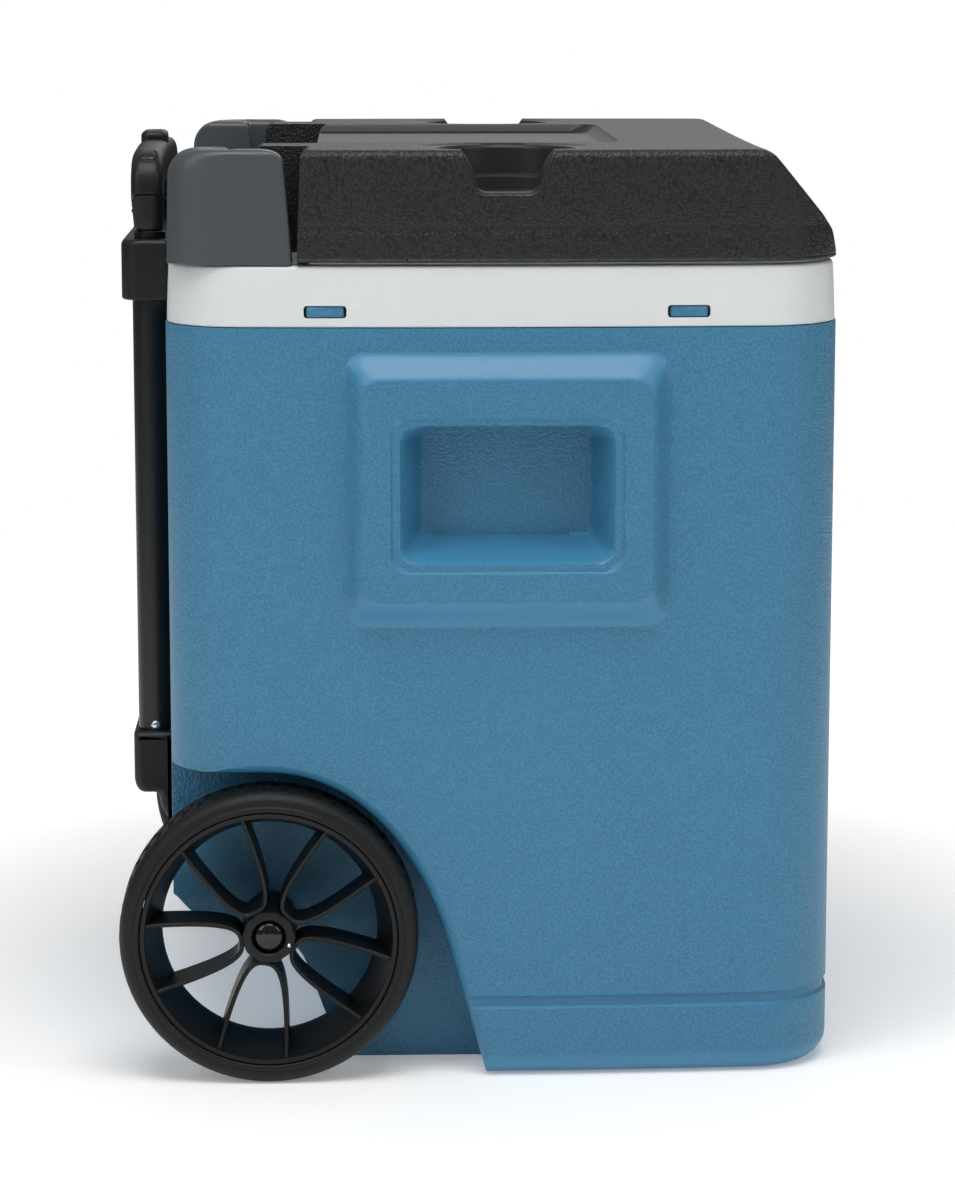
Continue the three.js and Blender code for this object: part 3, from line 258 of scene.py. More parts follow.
def box_distance(x: Array, z: Array, half: tuple[float, float], centre_z: float, radius: float) -> Array:
    """Signed distance from the edge of a rounded rectangle in side view, negative inside it.

    Args:
        x: Places along X.
        z: Heights.
        half: Half length and half height.
        centre_z: Height of its middle.
        radius: Corner radius.

    Returns:
        Distance at each point.
    """
    qx = np.abs(x - MID_X) - half[0] + radius
    qz = np.abs(z - centre_z) - half[1] + radius
    outside = np.hypot(np.maximum(qx, 0), np.maximum(qz, 0))
    return outside + np.minimum(np.maximum(qx, qz), 0) - radius


def soft(t: Array) -> Array:
    """Smooth step from 0 to 1: three t squared less two t cubed."""
    t = np.clip(t, 0, 1)
    return t * t * (3 - 2 * t)


def arc(radius: float, steps: int, start: float = 0.0, stop: float = 90.0) -> tuple[Array, Array]:
    """Sine and cosine parts of a quarter circle, as (out, up) from its centre."""
    angle = np.radians(np.linspace(start, stop, steps))
    return radius * np.cos(angle), radius * np.sin(angle)


# --------------------------------------------------------------------------------------
# Meshes
# --------------------------------------------------------------------------------------

@dataclass
class Patch:
    """Rings of points (R, N, 3), each ring closed on itself, skinned one to the next."""

    rings: Array
    looped: bool = False
    capped: bool = True


def build(name: str, *patches: Patch) -> Object:
    """Makes one object from patches, merges their poles and turns every face outwards.

    Args:
        name: Name of the object.
        patches: Ringed surfaces.

    Returns:
        The object.
    """
    points, faces, start = [], [], 0
    for patch in patches:
        rows, cols, _ = patch.rings.shape
        points.append(patch.rings.reshape(-1, 3))
        index = np.arange(rows * cols).reshape(rows, cols) + start
        top = np.roll(index, -1, axis=0) if patch.looped else index[1:]
        low = index if patch.looped else index[:-1]
        quads = np.stack([low, np.roll(low, -1, axis=1), np.roll(top, -1, axis=1), top], axis=-1)
        faces += quads.reshape(-1, 4).tolist()
        if patch.capped and not patch.looped:
            faces += [index[0, ::-1].tolist(), index[-1].tolist()]
        start += rows * cols
    mesh = bpy.data.meshes.new(name)
    mesh.from_pydata((np.concatenate(points) * MM).tolist(), [], faces)
    made = bpy.data.objects.new(name, mesh)
    bpy.context.scene.collection.objects.link(made)
    tidied(made)
    return made


def tidied(made: Object) -> Object:
    """Merges points that coincide, drops empty faces and turns the rest outwards.

    Args:
        made: The object.

    Returns:
        The same object.
    """
    form = bmesh.new()
    form.from_mesh(made.data)
    bmesh.ops.remove_doubles(form, verts=form.verts, dist=2e-6)
    bmesh.ops.dissolve_degenerate(form, dist=1e-6, edges=form.edges)
    bmesh.ops.recalc_face_normals(form, faces=form.faces)
    form.to_mesh(made.data)
    form.free()
    return made


def baked(made: Object) -> Object:
    """Replaces the object's mesh by what its modifiers make of it.

    Args:
        made: The object.

    Returns:
        The same object.
    """
    view = bpy.context.evaluated_depsgraph_get()
    mesh = bpy.data.meshes.new_from_object(made.evaluated_get(view))
    made.modifiers.clear()
    old, made.data = made.data, mesh
    bpy.data.meshes.remove(old)
    return made


def combined(target: Object, tools: list[Object], how: str = "DIFFERENCE") -> Object:
    """Cuts tools out of a piece, or joins them to it, and removes the tools.

    Args:
        target: The piece.
        tools: Closed forms.
        how: Name of the boolean operation.

    Returns:
        The piece.
    """
    for tool in tools:
        step = target.modifiers.new(how, "BOOLEAN")
        step.operation, step.solver, step.object = how, "MANIFOLD", tool
    baked(target)
    for tool in tools:
        mesh = tool.data
        bpy.data.objects.remove(tool)
        bpy.data.meshes.remove(mesh)
    return target


def without_faces(made: Object, keep: Callable[[Vector, Vector], bool]) -> Object:
    """Deletes the faces for which keep(centre, normal) is false, to open a form before it is walled.

    Args:
        made: The piece.
        keep: Says of a face centre in mm and a normal whether the face stays.

    Returns:
        The piece.
    """
    form = bmesh.new()
    form.from_mesh(made.data)
    gone = [f for f in form.faces if not keep(f.calc_center_median() / MM, f.normal)]
    bmesh.ops.delete(form, geom=gone, context="FACES")
    form.to_mesh(made.data)
    form.free()
    return made


def walled(made: Object, wall: float) -> Object:
    """Gives an open form a wall that grows inwards from it.

    Args:
        made: The open form.
        wall: Thickness in mm.

    Returns:
        The piece.
    """
    step = made.modifiers.new("wall", "SOLIDIFY")
    step.thickness, step.offset, step.use_rim = wall * MM, -1, True
    return baked(made)


def absorbed(target: Object, *others: Object) -> Object:
    """Adds the meshes of other objects to a piece, as further closed bodies of the same object.

    Args:
        target: The piece.
        others: Objects to add; they are removed.

    Returns:
        The piece.
    """
    form = bmesh.new()
    form.from_mesh(target.data)
    for other in others:
        form.from_mesh(other.data)
    form.to_mesh(target.data)
    form.free()
    for other in others:
        mesh = other.data
        bpy.data.objects.remove(other)
        bpy.data.meshes.remove(mesh)
    return target


def finished(made: Object, body: str, material: bpy.types.Material,
             nodes: list[str], crease: float = 34.0) -> Object:
    """Shades a piece, dresses it and hangs it on its body in place of its CAD nodes.

    Args:
        made: The piece.
        body: Name of the moving body that carries it.
        material: Its material.
        nodes: CAD nodes that it stands for.
        crease: Angle in degrees past which an edge stays sharp.

    Returns:
        The piece.
    """
    made.name = made.name.split(".")[0].replace(" ", "_") + "_form"
    mesh = made.data
    mesh.shade_smooth()
    mesh.set_sharp_from_angle(angle=math.radians(crease))
    step = made.modifiers.new("even shading", "WEIGHTED_NORMAL")
    step.keep_sharp = True
    mesh.materials.clear()
    mesh.materials.append(material)
    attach(made, body)
    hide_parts(*nodes)
    log.info("%-22s %7d faces on %s", made.name, len(mesh.polygons), body)
    return made


def stacked(rows: list[tuple[Array, float]]) -> Array:
    """Rings (R, N, 3) from plan outlines, each with its height."""
    return np.stack([np.column_stack([outline, np.full(len(outline), z)]) for outline, z in rows])


def across(outlines: list[Array], places: list) -> Array:
    """Rings from side-view outlines (x, z) at places along Y."""
    return np.stack([
        np.column_stack([o[:, 0], np.broadcast_to(p, len(o)), o[:, 1]]) for o, p in zip(outlines, places)])


def turned(profile: list[tuple[float, float]], axis: str, centre: tuple[float, float, float],
           count: int = 48) -> Array:
    """Rings of a profile turned round an axis.

    Args:
        profile: (radius, place along the axis) pairs.
        axis: "x", "y" or "z".
        centre: A point on the axis.
        count: Points round each ring.

    Returns:
        Rings (R, count, 3).
    """
    radius, along = np.asarray(profile, float).T
    angle = np.linspace(0, 2 * math.pi, count, endpoint=False)
    a, b = radius[:, None] * np.cos(angle), radius[:, None] * np.sin(angle)
    c = np.broadcast_to(along[:, None], a.shape)
    order = {"x": (c, a, b), "y": (b, c, a), "z": (a, b, c)}[axis]
    return np.stack(order, axis=-1) + np.asarray(centre, float)


def lathe(name: str, profile: list[tuple[float, float]], axis: str, centre: tuple[float, float, float],
          count: int = 48, looped: bool = False) -> Object:
    """Turned piece; its profile starts and ends on the axis, or is a loop clear of it."""
    return build(name, Patch(turned(profile, axis, centre, count), looped=looped, capped=False))


def rod(name: str, radius: float, axis: str, start: float, stop: float,
        centre: tuple[float, float, float], count: int = 40) -> Object:
    """Plain round tool for cutting a bore."""
    return build(name, Patch(turned([(radius, start), (radius, stop)], axis, centre, count)))


# --------------------------------------------------------------------------------------
# Finishes
# --------------------------------------------------------------------------------------

def linear(code: str) -> tuple[float, float, float, float]:
    """Linear colour of an sRGB hex code.

    Args:
        code: Colour such as "#3e81a6".

    Returns:
        Red, green, blue and alpha.
    """
    value = np.array([int(code[k:k + 2], 16) for k in (1, 3, 5)]) / 255
    curve = np.where(value <= 0.04045, value / 12.92, ((value + 0.055) / 1.055) ** 2.4)
    return (*curve.tolist(), 1.0)


def add(tree: bpy.types.NodeTree, kind: str, settings: dict | None = None,
        links: dict | None = None) -> bpy.types.Node:
    """Adds a node, sets its properties and inputs, and links sockets into it.

    Args:
        tree: The node tree.
        kind: Blender's node type.
        settings: Property or input name to value.
        links: Input name or index to the socket that feeds it.

    Returns:
        The node.
    """
    node = tree.nodes.new(kind)
    for key, value in (settings or {}).items():
        if isinstance(key, str) and hasattr(node, key):
            setattr(node, key, value)
        else:
            node.inputs[key].default_value = value
    for key, socket in (links or {}).items():
        tree.links.new(socket, node.inputs[key])
    return node


def new_material(name: str) -> tuple[bpy.types.Material, bpy.types.NodeTree, bpy.types.Node]:
    """Empty material with its shader linked to its output.

    Args:
        name: Name of the material.

    Returns:
        The material, its tree and its shader.
    """
    material = bpy.data.materials.new(name)
    material.use_nodes = True
    tree = material.node_tree
    tree.nodes.clear()
    shader = add(tree, "ShaderNodeBsdfPrincipled")
    add(tree, "ShaderNodeOutputMaterial", links={"Surface": shader.outputs["BSDF"]})
    return material, tree, shader


@dataclass(frozen=True)
class Moulded:
    """Moulded plastic. Its tool leaves a grain of low round pebbles, or polished faces."""

    name: str
    colour: str
    # colour of the grain's pits: painted shade, darker than the colour
    pit_shade: str
    roughness: float
    grain: float = 0.0  # pebble spacing in mm
    height: float = 0.12  # pebble height in mm
    mottle: float = 0.03  # slow change of tone over the piece
    smooth_slopes: bool = False
    shine: float = 0.5  # specular level
    polished: bool = False  # leaves the faces marked "polished" almost without grain

    def build(self) -> bpy.types.Material:
        """Makes the material.

        Returns:
            Material whose pebbles are cells; each pit is painted darker, as painted shade, and rougher.
        """
        material, tree, shader = new_material(self.name)
        shader.inputs["IOR"].default_value = 1.5
        shader.inputs["Specular IOR Level"].default_value = self.shine
        place = add(tree, "ShaderNodeTexCoord").outputs["Object"]
        slow = add(tree, "ShaderNodeTexNoise", {"Scale": 14.0, "Detail": 3.0}, {"Vector": place})
        tone = add(tree, "ShaderNodeMapRange",
                   {"To Min": 1 - self.mottle, "To Max": 1 + self.mottle}, {"Value": slow.outputs["Fac"]})
        # Painted shade: each pit of the grain takes the darker pit colour.
        base = add(tree, "ShaderNodeMix", {"data_type": "RGBA", 6: linear(self.colour), 7: linear(self.pit_shade)})
        scale = 1000 / (self.grain or 1.6)
        cells = add(tree, "ShaderNodeTexVoronoi",
                    {"feature": "SMOOTH_F1", "Scale": scale, "Smoothness": 0.35}, {"Vector": place})
        grit = add(tree, "ShaderNodeTexNoise", {"Scale": scale * 1.7, "Detail": 2.0}, {"Vector": place})
        depth = add(tree, "ShaderNodeMath", {"operation": "MULTIPLY_ADD", 1: 0.3},
                    {0: grit.outputs["Fac"], 2: cells.outputs["Distance"]})
        shade = add(tree, "ShaderNodeMapRange",
                    {"From Min": 0.3, "From Max": 0.85, "To Min": 0.0, "To Max": 1.0},
                    {"Value": depth.outputs[0]})
        amount = shade.outputs[0]
        if self.smooth_slopes:
            facing = add(tree, "ShaderNodeTexCoord").outputs["Normal"]
            parts = add(tree, "ShaderNodeSeparateXYZ", links={0: facing})
            tilt = add(tree, "ShaderNodeMath", {"operation": "ABSOLUTE"}, {0: parts.outputs["Z"]})
            flat = add(tree, "ShaderNodeMapRange",
                       {"From Min": 0.12, "From Max": 0.3, "To Min": 1.0, "To Max": 0.15},
                       {"Value": tilt.outputs[0]})
            amount = add(tree, "ShaderNodeMath", {"operation": "MULTIPLY"},
                         {0: amount, 1: flat.outputs[0]}).outputs[0]
        if self.polished:
            mark = add(tree, "ShaderNodeAttribute", {"attribute_name": "polished"}).outputs["Fac"]
            rest = add(tree, "ShaderNodeMath", {"operation": "MULTIPLY_ADD", 1: -0.93, 2: 1.0}, {0: mark})
            amount = add(tree, "ShaderNodeMath", {"operation": "MULTIPLY"},
                         {0: amount, 1: rest.outputs[0]}).outputs[0]
        tree.links.new(amount, base.inputs[0])
        toned = add(tree, "ShaderNodeVectorMath", {"operation": "SCALE"},
                    {0: base.outputs[2], "Scale": tone.outputs[0]})
        tree.links.new(toned.outputs[0], shader.inputs["Base Color"])
        rough = add(tree, "ShaderNodeMapRange",
                    {"To Min": self.roughness - 0.05, "To Max": self.roughness + 0.06},
                    {"Value": grit.outputs["Fac"]})
        tree.links.new(rough.outputs[0], shader.inputs["Roughness"])
        bump = add(tree, "ShaderNodeBump",
                   {"Strength": 1.0 if self.grain else 0.25, "Distance": self.height * MM, "invert": True},
                   {"Height": amount})
        tree.links.new(bump.outputs[0], shader.inputs["Normal"])
        return material


@dataclass(frozen=True)
class Metal:
    """Bare or coated metal with fine drawn lines along one axis."""

    name: str
    colour: str
    roughness: float
    metallic: float
    lines: tuple[float, float, float]
    coat: float = 0.0

    def build(self) -> bpy.types.Material:
        """Makes the material: stretched noise varies its roughness and, slightly, its tone.

        Returns:
            The material.
        """
        material, tree, shader = new_material(self.name)
        shader.inputs["Metallic"].default_value = self.metallic
        shader.inputs["Coat Weight"].default_value = self.coat
        shader.inputs["Coat Roughness"].default_value = 0.25
        place = add(tree, "ShaderNodeTexCoord").outputs["Object"]
        drawn = add(tree, "ShaderNodeMapping", {"Scale": self.lines}, {"Vector": place})
        noise = add(tree, "ShaderNodeTexNoise", {"Scale": 1.0, "Detail": 4.0}, {"Vector": drawn.outputs[0]})
        rough = add(tree, "ShaderNodeMapRange",
                    {"To Min": self.roughness * 0.75, "To Max": self.roughness * 1.3},
                    {"Value": noise.outputs["Fac"]})
        tree.links.new(rough.outputs[0], shader.inputs["Roughness"])
        tone = add(tree, "ShaderNodeMapRange", {"To Min": 0.9, "To Max": 1.1},
                   {"Value": noise.outputs["Fac"]})
        colour = add(tree, "ShaderNodeVectorMath", {"operation": "SCALE", 0: linear(self.colour)[:3]},
                     {"Scale": tone.outputs[0]})
        tree.links.new(colour.outputs[0], shader.inputs["Base Color"])
        return material


@dataclass
class Finishes:
    """All the materials of the cooler. The second colour of each moulded one is the painted shade in its
    grain's pits.
    """

    # Blue polyethylene, blow moulded, with a fine pebble grain: soft sheen, and almost no grain on
    # slopes. The grain is drawn at 1.5 mm, coarser than the real 0.8 mm, so that it shows.
    shell: bpy.types.Material = field(default_factory=lambda: Moulded(
        "blue polyethylene, moulded pebble grain", "#3e81a6", "#33708f", 0.4, 1.5, 0.26, 0.02, True).build())
    # Smooth white polypropylene of food liners: clean satin with a faint waviness.
    liner: bpy.types.Material = field(default_factory=lambda: Moulded(
        "white polypropylene, polished mould", "#d9dcdc", "#d5d9d9", 0.36).build())
    # Charcoal polyethylene with a coarse leather-like grain: each pebble catches the light.
    # The cup holders and the tray are left smooth by the mould.
    lid: bpy.types.Material = field(default_factory=lambda: Moulded(
        "charcoal polyethylene, coarse pebble grain", "#1f2224", "#131517", 0.42, 1.6, 0.3, 0.03, shine=0.4,
        polished=True).build())
    # Grey ABS from a satin mould: even, with one soft highlight.
    cover: bpy.types.Material = field(default_factory=lambda: Moulded(
        "grey ABS, satin mould", "#464b4f", "#43484c", 0.38).build())
    # Black glass-filled nylon: close satin, slightly mottled.
    nylon: bpy.types.Material = field(default_factory=lambda: Moulded(
        "black glass-filled nylon, satin mould", "#161717", "#111212", 0.42, 1.2, 0.05, 0.06,
        shine=0.35).build())
    # Black polypropylene of wheel rims: deeper black, duller.
    rim: bpy.types.Material = field(default_factory=lambda: Moulded(
        "black polypropylene, moulded wheel", "#0f1011", "#0c0d0e", 0.42, 1.4, 0.05, 0.05, shine=0.3).build())
    # Black ABS from a polished mould, for the axle caps: sharp highlights.
    cap: bpy.types.Material = field(default_factory=lambda: Moulded(
        "black ABS, polished mould", "#0f1011", "#0d0e0f", 0.14).build())
    # Black thermoplastic rubber of the treads: matt, its pores painted darker as shade.
    tyre: bpy.types.Material = field(default_factory=lambda: Moulded(
        "black thermoplastic rubber, moulded tread", "#121312", "#0d0e0d", 0.5, 1.3, 0.08, 0.08,
        shine=0.3).build())
    # Powder-coated aluminium tube: black with a long soft highlight and a trace of draw lines.
    tube: bpy.types.Material = field(default_factory=lambda: Metal(
        "aluminium tube, black powder coat", "#0c0d0e", 0.34, 0.2, (900.0, 900.0, 12.0), 0.1).build())
    # Zinc-plated steel of screws, rivets and pins: bright, with fine turning marks.
    steel: bpy.types.Material = field(default_factory=lambda: Metal(
        "steel, bright zinc plate", "#c9cbce", 0.24, 1.0, (1500.0, 1500.0, 1500.0)).build())
    # Cut polyurethane foam: matt cream with open cells.
    foam: bpy.types.Material = field(default_factory=lambda: Moulded(
        "rigid polyurethane foam, cream", "#e6d7a6", "#cdbb86", 0.9, 1.6, 0.25, 0.05).build())


# --------------------------------------------------------------------------------------
# Chest
# --------------------------------------------------------------------------------------

@dataclass
class Chest:
    """Blue shell: walls with a raised frame and a hand pocket each side, wheel wells and undercut."""

    wall: float = 3.0
    foot: float = 16.0
    groove: tuple[float, float, float] = (43.0, 50.0, 2.0)
    base: tuple[float, float] = (96.0, 80.7)
    base_z: float = 355.7
    face: tuple[float, float] = (85.05, 65.45)
    face_z: float = 355.85
    mouth: tuple[float, float] = (62.4, 40.4)
    mouth_z: float = 354.1
    floor: tuple[float, float] = (50.4, 33.15)
    floor_z: float = 358.85
    proud: float = 230.0
    pocket: float = 34.0
    lip: float = 1.5
    edge: float = 7.0  # radius of a well's edge
    window_z: tuple[float, float] = (456.7, 464.0)

    def lines(self) -> tuple[Array, Array]:
        """Places of the grid lines along a side, close together where the frame and pocket turn.

        Returns:
            Places along the sides and across the ends, from -1 to 1.
        """
        straight = PLAN.half_x - PLAN.corner
        near = np.concatenate([np.arange(48, 66, 1.5), np.arange(66.6, 69.4, 0.55), np.arange(70.5, 99, 1.6)])
        x = np.concatenate([MID_X - near, MID_X + near, np.arange(-28, 60, 9.0), np.arange(-140, -85, 9.0),
                            np.arange(114, 165, 9.0)])
        along = np.unique(np.round((x - PLAN.mid_x) / straight, 4))
        return along[np.abs(along) < 0.995], np.linspace(-0.94, 0.94, 20)

    def heights(self) -> Array:
        """Heights of the grid lines from above the foot's curve to the top edge.

        Returns:
            Heights in mm.
        """
        g0, g1, _ = self.groove
        return np.concatenate([
            [20, 30, 38, g0 - 0.6, g0 + 0.8, 46.5, g1 - 0.8, g1 + 0.6], np.arange(58, 270, 11.0),
            np.arange(273, 294, 1.6), [298, 302, 305], np.arange(306.6, 309.4, 0.55),
            np.arange(310.5, 328, 1.4), np.arange(332, 384, 7.0), np.arange(385, 398, 1.3),
            np.arange(398.6, 401.6, 0.55), [403, 407, 412],
            np.arange(418, 440, 1.7), [445, 449, CHEST_TOP]])

    def side_place(self, x: Array, z: Array, plain: Array) -> Array:
        """Distance from the middle to the side, with the frame and the pocket.

        The frame mixes from the plain wall to its flat face by how far a point lies between the two
        rounded rectangles; the pocket mixes from the face to its floor in the same way.

        Args:
            x: Places along X.
            z: Heights.
            plain: Distance of the plain wall.

        Returns:
            Distance of the shaped wall.
        """
        base = box_distance(x, z, self.base, self.base_z, 12)
        face = box_distance(x, z, self.face, self.face_z, 11)
        rise = np.clip(-base / np.maximum(-base + np.maximum(face, 0), 1e-6), 0, 1)
        rise = np.where(base >= 0, 0, 0.6 * rise + 0.4 * soft(rise))
        rim = box_distance(x, z, (self.mouth[0] + 6.2, self.mouth[1] + 6.2), self.mouth_z, 13)
        mouth = box_distance(x, z, self.mouth, self.mouth_z, 9)
        floor = box_distance(x, z, self.floor, self.floor_z, 7)
        sink = np.clip(-mouth / np.maximum(-mouth + np.maximum(floor, 0), 1e-6), 0, 1)
        sink = np.where(mouth >= 0, 0, 0.7 * sink + 0.3 * soft(sink))
        step = self.lip * soft(-rim / 1.3)
        place = plain + rise * (self.proud - plain)
        return place - step - sink * (self.pocket - self.lip)

    def outer(self) -> Object:
        """Outside of the shell as one closed form, before the wells are cut.

        Returns:
            The closed form.
        """
        sides, ends = self.lines()
        g0, g1, depth = self.groove
        out, up = arc(self.foot, 7, -90, 0)
        rings = []
        floor_ring = PLAN.outline(self.foot, sides, ends)
        centre = np.array([PLAN.mid_x, 0])
        for share in (0.0, 0.3, 0.6, 0.85):
            ring = centre + share * (floor_ring - centre)
            rings.append(np.column_stack([ring, np.zeros(len(ring))]))
        for inset, z in zip(self.foot - out, self.foot + up):
            rings.append(np.column_stack([PLAN.outline(inset, sides, ends), np.full(len(floor_ring), z)]))
        for z in self.heights():
            cut = depth if g0 < z < g1 else 0.0
            ring = PLAN.outline(cut, sides, ends)
            on_side = np.abs(ring[:, 1]) > PLAN.half_y - 12
            place = self.side_place(ring[:, 0], np.full(len(ring), z), np.abs(ring[:, 1]))
            y = np.where(on_side, np.sign(ring[:, 1]) * place, ring[:, 1])
            rings.append(np.column_stack([ring[:, 0], y, np.full(len(ring), z)]))
        return build("body shell", Patch(np.stack(rings)))

    @staticmethod
    def well_outline() -> Array:
        """Side view of a well: flat from the rear, round over the wheel, then down to the floor.

        Returns:
            Points (N, 2), turning left.
        """
        top, reach = 186.0, AXLE_X + 107.0
        curve = bezier([[AXLE_X, top], [AXLE_X + 55, top], [reach - 14.85, 135.3], [reach, 82.5]], 26)
        line = np.vstack([[REAR_X - 40, top], curve, [14.7, -40], [REAR_X - 40, -40]])
        return resampled(line[::-1], 150)

    def well(self, side: Side) -> Object:
        """Cutter of a wheel well; its mouth flares so that the edge of the well is round.

        Args:
            side: Side of the chest.

        Returns:
            The cutter.
        """
        outline = self.well_outline()
        rings, places = [], []
        for t in np.radians([90, 60, 30, 0]):
            rings.append(grown(outline, -5 * (1 - math.cos(t))))
            places.append(np.full(len(outline), WELL_Y + 5 * (1 - math.sin(t))))
        radius = self.edge
        for t in np.radians([0, 20, 40, 58, 72]):
            ring = grown(outline, radius * (1 - math.cos(t)))
            rings.append(ring)
            places.append(PLAN.side_at(ring[:, 0]) - radius + radius * math.sin(t))
        last = grown(outline, radius)
        rings.append(last)
        places.append(PLAN.side_at(last[:, 0]) + 3)
        rings.append(last)
        places.append(np.full(len(last), 260.0))
        return build("well", Patch(across(rings, [side.value * p for p in places])))

    @staticmethod
    def undercut() -> Object:
        """Cutter of the space under the rear, between the wells.

        Returns:
            The cutter.
        """
        corners = np.array([
            [REAR_X - 40, -40], [AXLE_X + 74, -40], [AXLE_X + 48.8, 0], [AXLE_X + 34.8, 22],
            [AXLE_X + 16.8, AXLE_Z - 17], [REAR_X + 14, AXLE_Z - 1], [REAR_X, AXLE_Z + 15],
            [REAR_X - 40, AXLE_Z + 15]])
        outline = rounded_polygon(corners, np.array([1, 1, 6, 10, 14, 10, 5, 1]), 6)
        return build("undercut", Patch(across([outline, outline], [-240.0, 240.0])))

    def tab(self, side: Side, x: float) -> Patch:
        """Hook of a snap tab that looks out of a window of the collar.

        Args:
            side: Side of the chest.
            x: Middle of the window along X.

        Returns:
            The hook.
        """
        z0, z1 = self.window_z
        front = float(PLAN.side_at(x)) - 1.9
        outline = rounded_rectangle(10.9, (z1 - z0) / 2 - 0.5, [1.6] * 4, 5) + [x, (z0 + z1) / 2]
        small = rounded_rectangle(9.9, (z1 - z0) / 2 - 1.5, [1.0] * 4, 5) + [x, (z0 + z1) / 2]
        places = [side.value * p for p in (front - 5.5, front - 0.7, front)]
        return Patch(across([outline, outline, small], places))

    def make(self, paint: Finishes) -> None:
        """Builds the shell, with its tabs and the pad of the drain.

        Args:
            paint: The materials.
        """
        shell = combined(self.outer(), [self.well(s) for s in Side] + [self.undercut()])
        without_faces(shell, lambda c, n: not (c.z > CHEST_TOP - 0.1 and n.z > 0.9))
        walled(shell, self.wall)
        tabs = [self.tab(s, x) for s in Side for x in (MID_X - 106, MID_X + 106)]
        drain_y = float(PLAN.side_at(DRAIN_X))
        pad = Patch(turned([(0, drain_y - 4), (18.5, drain_y - 4), (18.5, drain_y + 0.2), (17.6, drain_y + 1),
                            (0, drain_y + 1)], "y", (DRAIN_X, 0, DRAIN_Z), 48))
        combined(absorbed(shell, build("tabs", *tabs, pad)),
                 [rod("bore", 10.3, "y", drain_y - 12, drain_y + 12, (DRAIN_X, 0, DRAIN_Z))])
        finished(shell, "root", paint.shell, ["body_shell"], 30)


@dataclass
class Liner:
    """White collar and the tub below it, with a raised floor over the wheels."""

    wall: float = 2.6
    lean: float = 1.4
    inset: float = 0.8
    rear: float = -154.0
    front: float = 186.0
    half: float = 187.0
    hump: float = 27.2
    hump_z: float = 225.0
    floor_z: float = 46.0

    def tub(self, x0: float, x1: float, rear_r: float, draw: float) -> Array:
        """Plan of the tub between two places, drawn in by a distance.

        Args:
            x0: Rear end.
            x1: Front end.
            rear_r: Radius of the rear corners.
            draw: Distance drawn in.

        Returns:
            Points (N, 2), turning left.
        """
        front, rear = max(30 - draw, 4), max(rear_r - draw, 4)
        lines = np.linspace(-0.9, 0.9, 14)
        flat = rounded_rectangle((x1 - x0) / 2 - draw, self.half - draw, [front, rear, rear, front], 10,
                                 lines, lines)
        return flat + [(x0 + x1) / 2, 0]

    def make(self, paint: Finishes) -> None:
        """Builds the collar, its rim and the tub as one sheet that is then given its wall.

        Args:
            paint: The materials.
        """
        lines = np.linspace(-0.9, 0.9, 14)

        def collar(inset: float) -> Array:
            """Ring round the outside of the collar, drawn in by an inset."""
            return PLAN.outline(self.inset + inset, lines, lines, 10)

        low = CHEST_TOP + 0.3
        rows: list[tuple[Array, float]] = [
            (collar(1.2), low), (collar(0.3), low + 0.3), (collar(0.0), low + 1.0), (collar(0.3), 462.0),
            (collar(0.9), 476.0), (collar(self.lean), COLLAR_TOP - 2.2),
            (collar(self.lean + 0.5), COLLAR_TOP - 0.8),
            (collar(self.lean + 1.8), COLLAR_TOP)]

        def full(draw: float) -> Array:
            """Ring of the tub over its whole length, drawn in."""
            return self.tub(self.rear, self.front, 72, draw)

        def deep(draw: float) -> Array:
            """Ring of the tub in front of the hump in its floor, drawn in."""
            return self.tub(self.hump, self.front, 30, draw)

        rows += [(full(-4.0), COLLAR_TOP), (full(-2.4), COLLAR_TOP - 0.6), (full(-1.0), COLLAR_TOP - 2.0),
                 (full(-0.3), COLLAR_TOP - 4.0), (full(0.0), 470.0), (full(0.0), 400.0), (full(0.0), 300.0),
                 (full(0.0), self.hump_z + 12), (full(1.0), self.hump_z + 6.5),
                 (full(3.6), self.hump_z + 2.6),
                 (full(8.0), self.hump_z + 0.8)]
        rows += [(deep(-2.0), self.hump_z - 0.2), (deep(-0.6), self.hump_z - 1.6),
                 (deep(0.0), self.hump_z - 4.0),
                 (deep(0.0), 180.0), (deep(0.0), 110.0), (deep(0.0), self.floor_z + 14),
                 (deep(1.2), self.floor_z + 7), (deep(4.4), self.floor_z + 2.6), (deep(10.0), self.floor_z)]
        rings = stacked(rows)
        last = rings[-1]
        centre = last.mean(axis=0)
        more = np.stack([centre + (last - centre) * k for k in (0.6, 0.0)])
        sheet = build("liner tub", Patch(np.concatenate([rings, more]), capped=False))
        self.outwards(sheet)
        walled(sheet, self.wall)
        tools = [self.window(s, x) for s in Side for x in (MID_X - 106, MID_X + 106)]
        tools.append(rod("bore", 10.3, "y", self.half - 6, self.half + 8, (DRAIN_X, 0, DRAIN_Z)))
        combined(sheet, tools)
        finished(sheet, "root", paint.liner, ["liner_tub"], 40)

    @staticmethod
    def outwards(sheet: Object) -> None:
        """Turns the open sheet so that the collar's outside and the tub's inside face out.

        Args:
            sheet: The open sheet.
        """
        mesh = sheet.data
        highest = max(mesh.polygons, key=lambda p: p.center.z)
        if highest.normal.z < 0:
            mesh.flip_normals()

    @staticmethod
    def window(side: Side, x: float) -> Object:
        """Cutter of a window in the collar, with rounded ends.

        Args:
            side: Side of the chest.
            x: Middle of the window along X.

        Returns:
            The cutter.
        """
        outline = rounded_rectangle(12.5, 3.65, [2.0] * 4, 6) + [x, 460.35]
        y = float(PLAN.side_at(x))
        return build("window", Patch(across([outline, outline],
                                            [side.value * (y - 9), side.value * (y + 5)])))


# --------------------------------------------------------------------------------------
# Lid
# --------------------------------------------------------------------------------------

